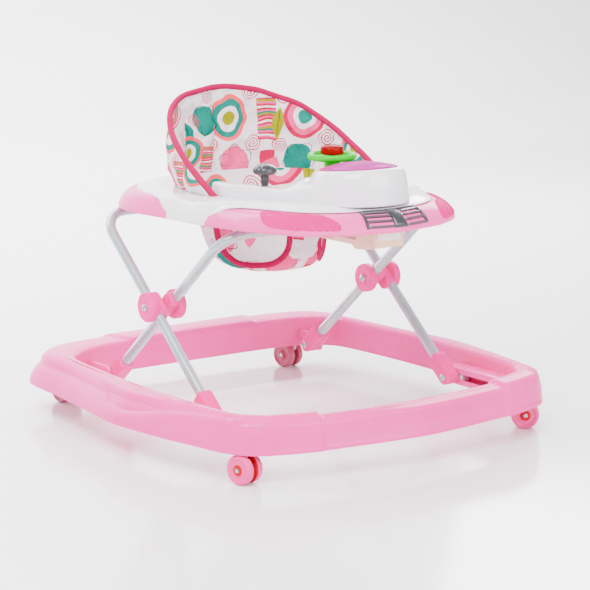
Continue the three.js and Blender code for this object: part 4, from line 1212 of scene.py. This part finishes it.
class Print:
    """Draws the motifs one over another on the cloth's own coordinates, in millimetres."""

    def __init__(self, graph):
        self.g = graph
        self.thread = graph.node("ShaderNodeUVMap", uv_map="cloth").outputs[0]
        u, v = (self.tiled(axis, *tile) for axis, tile in
                zip(graph.split(self.thread), ((TILE_START[0], TILE_U), (TILE_START[1], TILE_V))))
        flat = graph.fill(graph.node("ShaderNodeCombineXYZ"), X=u, Y=v).outputs[0]
        shake = graph.fill(graph.node("ShaderNodeTexNoise"), Scale=0.045, Detail=0.0, Vector=flat)
        moved = graph.vector("MULTIPLY_ADD", shake.outputs["Color"], (6, 6, 0), flat)
        self.where = graph.vector("SUBTRACT", moved.outputs[0], (3, 3, 0)).outputs[0]
        self.colour = rgb(INK["ground"])

    def tiled(self, metres, start, size):
        return self.g.math("WRAP", self.g.math("MULTIPLY", metres, 1000), start + size, start)

    def local(self, x, y, half_x, half_y, turn=0):
        """Coordinates of a motif: its radius, and its own x and y."""
        m = self.g.fill(self.g.node("ShaderNodeMapping", vector_type="TEXTURE"), Vector=self.where,
                        Location=(x, y, 0), Rotation=(0, 0, math.radians(turn)), Scale=(half_x, half_y, 1))
        place = m.outputs[0]
        return self.g.vector("LENGTH", place).outputs["Value"], *self.g.split(place)

    def over(self, mask, colour):
        self.colour = self.g.mix(mask, self.colour, colour)

    def patch(self, px, py, half_x=1.0, half_y=1.0):
        return self.g.math("MULTIPLY", self.g.within(px, half_x), self.g.within(py, half_y))

    def oval(self, x, y, half_x, half_y, turn, rings):
        r, _, _ = self.local(x, y, half_x, half_y, turn)
        bands = self.g.ramp(r, [INK[ink] for ink in rings], (0.0, 0.33, 0.57, 0.82))
        self.over(self.g.math("LESS_THAN", r, 1.0), bands)

    def rose(self, x, y, size):
        g = self.g
        r, px, py = self.local(x, y, size, size * 0.96, x * 3 + y)
        turn = g.math("DIVIDE", g.math("ARCTAN2", py, px), TAU)
        phase = g.math("FRACT", g.math("ADD", g.math("SUBTRACT", g.math("MULTIPLY", r, 3.1), turn), 4.0))
        line = g.math("MULTIPLY", g.math("LESS_THAN", phase, 0.42), g.math("LESS_THAN", r, 1.0))
        self.over(line, rgb(INK["magenta"]))

    def flower(self, x, y, size, ink):
        g = self.g
        blob, _, _ = self.local(x, y, size * 0.84, size * 0.92, 15)
        self.over(g.math("LESS_THAN", blob, 1.0), rgb(INK[ink]))
        r, px, py = self.local(x + 2, y + 1, size, size, x)
        petal = g.math("ABSOLUTE", g.math("COSINE", g.math("MULTIPLY", g.math("ARCTAN2", py, px), 2.5)))
        edge = g.math("ADD", g.math("MULTIPLY", g.math("POWER", petal, 0.45), 0.72), 0.26)
        self.over(g.within(g.math("SUBTRACT", r, edge), 0.022), rgb(INK["black"]))

    def stripes(self, x, y, half_x, half_y, turn):
        _, px, py = self.local(x, y, half_x, half_y, turn)
        bands = self.g.ramp(self.g.spread(py, 0.0, 1.0, -1.0, 1.0), [INK[ink] for ink in STRIPE_INKS],
                            [k / len(STRIPE_INKS) for k in range(len(STRIPE_INKS))])
        self.over(self.patch(px, py), bands)

    def block(self, x, y, half_x, half_y, turn, ink):
        _, px, py = self.local(x, y, half_x, half_y, turn)
        self.over(self.patch(px, py), rgb(INK[ink]))

    def leaf(self, x, y, half_x, half_y, turn, ink):
        _, px, py = self.local(x, y, half_x, half_y, turn)
        width = self.g.math("SUBTRACT", 1.0, self.g.math("MULTIPLY", px, px))
        self.over(self.g.within(py, width), rgb(INK[ink]))
        self.over(self.patch(px, py, 0.8, 0.05), rgb(INK["black"]))


def printed_cloth():
    """White cotton with the print on it: the later motifs lie over the earlier ones."""
    g = Graph("printed_cotton")
    art = Print(g)
    for draw, motifs in ((art.stripes, STRIPES), (art.leaf, LEAVES), (art.block, BLOCKS), (art.oval, OVALS),
                         (art.flower, FLOWERS), (art.rose, ROSES)):
        for motif in motifs:
            draw(*motif)
    threads = weave(g, art.thread)
    fuzz = g.noise(g.coords(), 180.0, 4.0)
    tint = g.mix(g.spread(threads, 0.0, 0.5, -1.0, 1.0), art.colour, rgb("E4D8DE"), "MULTIPLY")
    worn = g.mix(g.spread(fuzz, 0.0, 0.5, 0.3, 0.8), tint, rgb("E0D2DA"), "MULTIPLY")
    relief = g.math("ADD", threads, g.math("MULTIPLY", fuzz, 1.5))
    return g.set(Base_Color=worn, Roughness=g.spread(fuzz, 0.72, 0.9), Normal=g.bump(relief, 0.22, 0.0004),
                 Specular_IOR_Level=0.02)


def plain_cloth(name, colour, deep):
    """Tape and piping: close ribs across the band, slightly worn colour."""
    g = Graph(name)
    where = g.coords()
    threads = weave(g, where, 2600)
    fuzz = g.noise(where, 220.0, 4.0)
    return g.set(Base_Color=g.mix(g.spread(fuzz, 0.0, 1.0, 0.25, 0.75), rgb(colour), rgb(deep)),
                 Roughness=g.spread(fuzz, 0.55, 0.75),
                 Normal=g.bump(g.math("ADD", threads, fuzz), 0.25, 0.0004), Specular_IOR_Level=0.02)


FABRIC = printed_cloth()
TAPE = plain_cloth("hot_pink_tape", "AE004E", "A20046")

# ---------------------------------------------------------------- seat back
SEAT_Y = -24
SEAT_LOW = 371
RIM_SLOPE = 0.603


def seat_half(z):
    """Half width and depth of the seat back's inner face at a height."""
    return 156 + 0.13 * (z - 380), 209 + 0.05 * (z - 380)


def seat_point(a, z, out=0.0):
    """Point on the seat back at angle a round the opening, moved out of the seat."""
    half, depth = seat_half(z)
    k = 2 / OPENING_POWER

    def flat(t):
        c, s = math.cos(t), math.sin(t)
        x, y = math.copysign(abs(c) ** k, c) * half, math.copysign(abs(s) ** k, s) * depth
        return np.array([x, SEAT_Y + y])

    p = flat(a)
    d = flat(a + 0.01) - flat(a - 0.01)
    n = np.array([d[1], -d[0]]) / np.linalg.norm(d)
    return np.array([*(p + n * out), z])


def seat_rim(a):
    """Height of the slanted rim at angle a, a little wavy as sewn cloth is."""
    z = 440.0
    for _ in range(12):
        z = 379 + RIM_SLOPE * (seat_point(a, z)[1] - SEAT_Y)
    return z + 0.9 * math.sin(9 * a + 1) + 0.6 * math.sin(17 * a)


SEAT_ANGLES = np.linspace(0.0, math.pi, 241)
SEAT_ARC = run_length(np.array([seat_point(a, 380)[:2] for a in SEAT_ANGLES]))
SEAT_ARC = SEAT_ARC[120] - SEAT_ARC


def seat_angle(x, y, z):
    half, depth = seat_half(z)
    p = OPENING_POWER / 2
    return math.atan2((max(y - SEAT_Y, 0.0) / depth) ** p, math.copysign((abs(x) / half) ** p, x))


def cloth_uv(obj, mapping):
    """Writes the cloth's own coordinates, in metres, as the UV layer the print and weave read."""
    layer = obj.data.uv_layers.get("cloth") or obj.data.uv_layers.new(name="cloth")
    uv = [mapping(v.co / MM, v.normal) for v in obj.data.vertices]
    for loop in obj.data.loops:
        layer.data[loop.index].uv = uv[loop.vertex_index]


def seat_arc(a):
    """Distance along the seat back, from its middle, at an angle round it."""
    return float(np.interp(a, SEAT_ANGLES, SEAT_ARC))


def seat_uv(co, normal):
    a = min(max(seat_angle(co.x, co.y, co.z), 0.0), math.pi)
    outside = normal.x * co.x + normal.y * (co.y - SEAT_Y) > 0
    shift = 190 if outside else 0
    return ((seat_arc(a) + shift) * MM, (co.z - 375) * MM)


def simulate(obj, hold, mass, tension, shear, bending, growth, frames, limit, pressure=0.0, gravity=0.0):
    """Cloth relaxes for some frames; hold gives each point's pin weight, and none moves past the limit."""
    rest = [v.co.copy() for v in obj.data.vertices]
    group = obj.vertex_groups.new(name="pin")
    for v in obj.data.vertices:
        weight = hold(v.index, v.co / MM)
        if weight > 0:
            group.add([v.index], weight, "REPLACE")
    mod = obj.modifiers.new("cloth", "CLOTH")
    cloth = {"quality": 6, "mass": mass, "tension_stiffness": tension, "compression_stiffness": 12,
             "shear_stiffness": shear, "bending_stiffness": bending, "vertex_group_mass": "pin",
             "shrink_min": growth, "shrink_max": growth, "use_pressure": pressure > 0,
             "uniform_pressure_force": pressure}
    for key, value in cloth.items():
        setattr(mod.settings, key, value)
    mod.settings.effector_weights.gravity = gravity
    mod.point_cache.frame_start = 1
    mod.point_cache.frame_end = frames
    scene = bpy.context.scene
    for frame_number in range(1, frames + 1):
        scene.frame_set(frame_number)
    apply_modifiers(obj)
    for v, start in zip(obj.data.vertices, rest):
        step = v.co - start
        if step.length > limit * MM:
            v.co = start + step.normalized() * limit * MM
    scene.frame_set(1)


def subdivide(obj):
    mod = obj.modifiers.new("fine", "SUBSURF")
    mod.levels = 1
    mod.render_levels = 1
    return apply_modifiers(obj)


SEAMS = (-7, 80, -128)


def seam_depth(arc):
    return max(math.exp(-((arc - s) / 7.0) ** 2) for s in SEAMS)


def crease_pad(pad):
    """Sewn channels, soft upright folds, and puckers where the cloth is gathered into the piping."""
    normals = [v.normal.copy() for v in pad.data.vertices]
    for v, n in zip(pad.data.vertices, normals):
        co = v.co / MM
        a = min(max(seat_angle(co.x, co.y, co.z), 0.01), math.pi - 0.01)
        arc = seat_arc(a)
        below = seat_rim(a) - co.z
        lift = 1.5 * noise.noise(Vector((arc * 0.045, co.z * 0.012, 3.1)))
        lift += 0.8 * noise.noise(Vector((arc * 0.11, co.z * 0.03, 7.7)))
        pucker = math.sin(arc * 0.30 + 2.4 * noise.noise(Vector((arc * 0.02, 0, 1.3))))
        lift += pucker * math.exp(-max(below, 0) / 15)
        if n.x * co.x + n.y * (co.y - SEAT_Y) < 0:
            for seam in SEAMS:
                wander = 2.5 * noise.noise(Vector((0, co.z * 0.03, seam)))
                lift -= 2.6 * math.exp(-((arc - seam - wander) / 3.4) ** 2)
        v.co += n * lift * float(smoothstep(2, 10, below)) * MM


def seat_pad():
    """The padded back before it settles: a quilted front face and a fuller outer one."""
    cols, rows = 150, 26
    ring = []
    for i in range(cols):
        a = math.pi * (0.004 + 0.992 * i / (cols - 1))
        top = seat_rim(a)
        dent = 1 - 0.75 * seam_depth(seat_arc(a))
        front, back = [], []
        for j in range(rows):
            t = j / (rows - 1)
            z = SEAT_LOW + (top - SEAT_LOW) * t
            puff = math.sin(math.pi * min(max(t, 0.02), 0.98)) ** 0.6 * min(1, (top - SEAT_LOW) / 40)
            front.append(seat_point(a, z, 3.6 - 3.6 * puff * dent))
            back.append(seat_point(a, z, 7.6 + 4.0 * puff))
        ring.append(front + back[::-1])
    return fix_normals(sheet_mesh("seat_back_pad", ring, [FABRIC], close_v=True, caps=True))


def pad_hold(index, co):
    """The pad is held at its rim, at its foot and along its seams."""
    a = seat_angle(co.x, co.y, co.z)
    rim = seat_rim(min(max(a, 0.01), math.pi - 0.01)) - co.z
    hold = max(1 - smoothstep(2, 9, rim), 1 - smoothstep(375, 380, co.z))
    return float(max(hold, 0.9 * (seam_depth(seat_arc(a)) > 0.75)))


def build_seat_back():
    pad = seat_pad()
    remesh(pad, 4.5)
    simulate(pad, pad_hold, mass=0.25, tension=18, shear=6, bending=0.6, growth=-0.05, frames=20, limit=7,
             pressure=2.5)
    subdivide(pad)
    crease_pad(pad)
    cloth_uv(pad, seat_uv)
    if not pad.data.materials:
        pad.data.materials.append(FABRIC)
    pad.data.shade_smooth()
    settle(pad, "tray", "seat_back")
    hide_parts("seat_board")


def tape_uv(co, normal):
    return (co.x * MM, co.z * MM)


def build_piping():
    """Bound edge along the slanted rim, its ends tucked down into the tray."""
    path = [seat_point(a, seat_rim(a), 5.2) for a in np.linspace(0.0, math.pi, 300)]
    first = [path[0] + np.array(step) for step in ((-6, -6, -11), (-3, -4, -5))]
    last = [path[-1] + np.array(step) for step in ((3, -4, -5), (6, -6, -11))]
    path = smooth_path(first + path[4:-4:6] + last, 420)
    radius = [4.6 + 0.35 * noise.noise(Vector(p) * 0.05) for p in path]
    piping = sweep("seat_rim_piping", path, radius, [TAPE], sides=18, side_hint=(0, 0.4, 1), squash=1.1)
    cloth_uv(piping, tape_uv)
    settle(piping, "tray")


# ---------------------------------------------------------------- seat pouch
POUCH_Y = 50
POUCH_BOTTOM = 241
POUCH_DEPTH = 0.92
# half section of the hanging seat: radius and height over its lowest point
POUCH_SHAPE = [(0, 0), (30, 1), (56, 4), (77, 10), (92, 20), (100, 34), (105, 52), (110, 74), (116, 98),
               (124, 118), (134, 130), (138, 136)]
POUCH_HEM = POUCH_BOTTOM + POUCH_SHAPE[-1][1] - 1.5
# leg openings in degrees round the seat from its +X side, and in height
LEG_HOLE = {"turn": -40, "half_turn": 34, "z": 297, "high": 44}


def pouch_point(turn, t):
    """Point at an angle round the seat and a share t of the way up from its lowest point."""
    shape = np.array(POUCH_SHAPE, float)
    length = run_length(shape)
    r, h = (np.interp(t * length[-1], length, shape[:, k]) for k in (0, 1))
    r *= 1 + 0.10 * max(0.0, -math.sin(turn)) * smoothstep(0.55, 1.0, t)
    return np.array([r * math.cos(turn), POUCH_Y + r * math.sin(turn) * POUCH_DEPTH, POUCH_BOTTOM + h])


def hole_value(x, y, z):
    """Below 1 inside a leg opening, 1 on its edge."""
    turn = math.degrees(math.atan2((y - POUCH_Y) / POUCH_DEPTH, abs(x)))
    across = abs(turn - LEG_HOLE["turn"]) / LEG_HOLE["half_turn"]
    up = abs(z - LEG_HOLE["z"]) / LEG_HOLE["high"]
    return across ** 2.6 + up ** 2.6


def pouch_uv(co, normal):
    turn = math.atan2((co.y - POUCH_Y) / POUCH_DEPTH, co.x)
    r = math.hypot(co.x, (co.y - POUCH_Y) / POUCH_DEPTH)
    if r < 100:
        return ((co.x + 60) * MM, (co.y + 40) * MM)
    return ((turn * 112 + 40) * MM, (co.z - 300) * MM)


def pouch_skin():
    """The hanging seat's skin round its two leg openings."""
    steps = 168
    verts = [pouch_point(0, 0)]
    shares = np.linspace(0.03, 1.0, 66)
    for t in shares:
        verts += [pouch_point(TAU * k / steps, t) for k in range(steps)]
    faces = [(0, 1 + k, 1 + (k + 1) % steps) for k in range(steps)]
    for i in range(len(shares) - 1):
        for k in range(steps):
            a, b = 1 + i * steps + k, 1 + i * steps + (k + 1) % steps
            faces.append((a, a + steps, b + steps, b))
    value = [hole_value(*v) for v in verts]
    faces = [f for f in faces if min(value[i] for i in f) > 0.86 or sum(value[i] > 1 for i in f) > 2]
    return mesh_object("seat_pouch_cloth", verts, faces, [FABRIC])


def round_openings(bm):
    """Pulls the leg openings' edges onto their outline and evens the cloth round them."""
    bmesh.ops.delete(bm, geom=[v for v in bm.verts if not v.link_faces], context="VERTS")
    edge = [v for v in bm.verts if v.is_boundary and v.co.z / MM < POUCH_HEM]
    for _ in range(12):
        for v in edge:
            place = v.co / MM
            slope = Vector()
            for k in range(3):
                step = Vector()
                step[k] = 0.5
                slope[k] = hole_value(*(place + step)) - hole_value(*(place - step))
            if slope.length > 1e-6:
                v.co -= slope * ((hole_value(*place) - 1) / slope.length_squared) * 0.7 * MM
        move = {v: sum((e.other_vert(v).co for e in v.link_edges if e.is_boundary), Vector()) / 2
                for v in edge}
        for v, co in move.items():
            v.co = v.co.lerp(co, 0.3)
    inner = [v for v in bm.verts if not v.is_boundary]
    for _ in range(3):
        bmesh.ops.smooth_vert(bm, verts=inner, factor=0.35, use_axis_x=True, use_axis_y=True, use_axis_z=True)


def build_pouch():
    pouch = pouch_skin()
    bm = bmesh.new()
    bm.from_mesh(pouch.data)
    round_openings(bm)
    openings = boundary_loops(bm)
    bm.to_mesh(pouch.data)
    bm.free()
    edges = {i for loop in openings for i in loop}

    def hold(index, co):
        """Held at the hem, and partly at the taped leg openings."""
        if co.z > POUCH_HEM - 1:
            return 1.0
        return 0.55 if index in edges else 0.0

    simulate(pouch, hold, mass=0.2, tension=25, shear=8, bending=0.15, growth=-0.05, frames=24, limit=5,
             gravity=0.1)
    for k, loop in enumerate(openings):
        path = smooth_path([pouch.data.vertices[i].co / MM for i in loop[::7]], 260, closed=True)
        tape = sweep("leg_tape_%d" % k, path, 4.8, [TAPE], sides=16, closed=True, squash=0.75)
        cloth_uv(tape, tape_uv)
        settle(tape, "tray")
    solid = pouch.modifiers.new("thick", "SOLIDIFY")
    solid.thickness = 1.6 * MM
    solid.offset = 0
    apply_modifiers(pouch)
    cloth_uv(pouch, pouch_uv)
    pouch.data.shade_smooth()
    settle(pouch, "tray", "seat_pouch")


def boundary_loops(bm):
    """Vertex numbers of each leg opening's edge, in order."""
    bm.verts.index_update()
    left = {v for v in bm.verts if v.is_boundary and v.co.z / MM < POUCH_HEM}
    loops = []
    while left:
        v = min(left, key=lambda vert: vert.index)
        left.discard(v)
        loop = [v.index]
        while True:
            step = [e.other_vert(v) for e in v.link_edges if e.is_boundary and e.other_vert(v) in left]
            if not step:
                break
            v = step[0]
            left.discard(v)
            loop.append(v.index)
        if len(loop) > 30:
            loops.append(loop)
    return loops


# ---------------------------------------------------------------- stage and camera
def build_stage():
    g = Graph("studio_floor")
    cloud = g.noise(g.coords(), 1.5)
    white = g.set(Base_Color=g.mix(cloud, rgb("FAFAFB"), rgb("F8F8F9")), Roughness=g.spread(cloud, 0.1, 0.16))
    rows = []
    for y, z in ((-4500, 0), (2200, 0), (3200, 50), (3900, 350), (4300, 1000), (4400, 4500)):
        rows.append([(x, y, z) for x in np.linspace(-5000, 5000, 6)])
    sheet_mesh("studio_floor", rows, [white])


def area_light(name, at, aim, size, watts):
    data = bpy.data.lights.new(name, "AREA")
    data.shape = "RECTANGLE"
    data.size, data.size_y = size
    data.energy = watts
    obj = link(bpy.data.objects.new(name, data))
    obj.location = at
    obj.rotation_euler = (Vector(aim) - Vector(at)).to_track_quat("-Z", "Y").to_euler()


def build_lights():
    world = bpy.data.worlds.new("soft_studio")
    bpy.context.scene.world = world
    world.use_nodes = True
    background = world.node_tree.nodes["Background"]
    background.inputs[0].default_value = (1, 1, 1, 1)
    background.inputs[1].default_value = 1.05
    area_light("key_over_left", (-1.6, -1.2, 2.3), (0, 0, 0.25), (1.7, 1.3), 145)
    area_light("fill_front", (0.6, -2.6, 1.3), (0, 0, 0.25), (2.2, 1.3), 70)
    area_light("rim_right", (2.0, 1.2, 1.6), (0, 0, 0.3), (1.2, 1.6), 80)
    area_light("backdrop_wash", (0, 2.2, 3.6), (0, 4.2, 1.2), (5.0, 1.5), 800)


def build_camera():
    data = bpy.data.cameras.new("camera")
    data.sensor_width = 36
    data.lens = 140.34
    camera = link(bpy.data.objects.new("camera", data))
    target = Vector((-0.014, -0.037, 0.207))
    back = Vector((-0.57699, -0.79416, 0.19081))
    camera.location = target + 3.565 * back
    camera.rotation_euler = (target - camera.location).to_track_quat("-Z", "Y").to_euler()
    bpy.context.scene.camera = camera


build_hoop()
build_slide_channels()
build_casters()
build_legs()
build_bolts()
build_tray_shell()
build_tray_cover()
build_console()
build_lens()
build_lamps()
build_grille()
build_steering()
build_horn()
build_gear_lever()
build_rack()
build_lock_lever()
build_clips_and_hooks()
build_seat_back()
build_piping()
build_pouch()
build_stage()
build_lights()
build_camera()
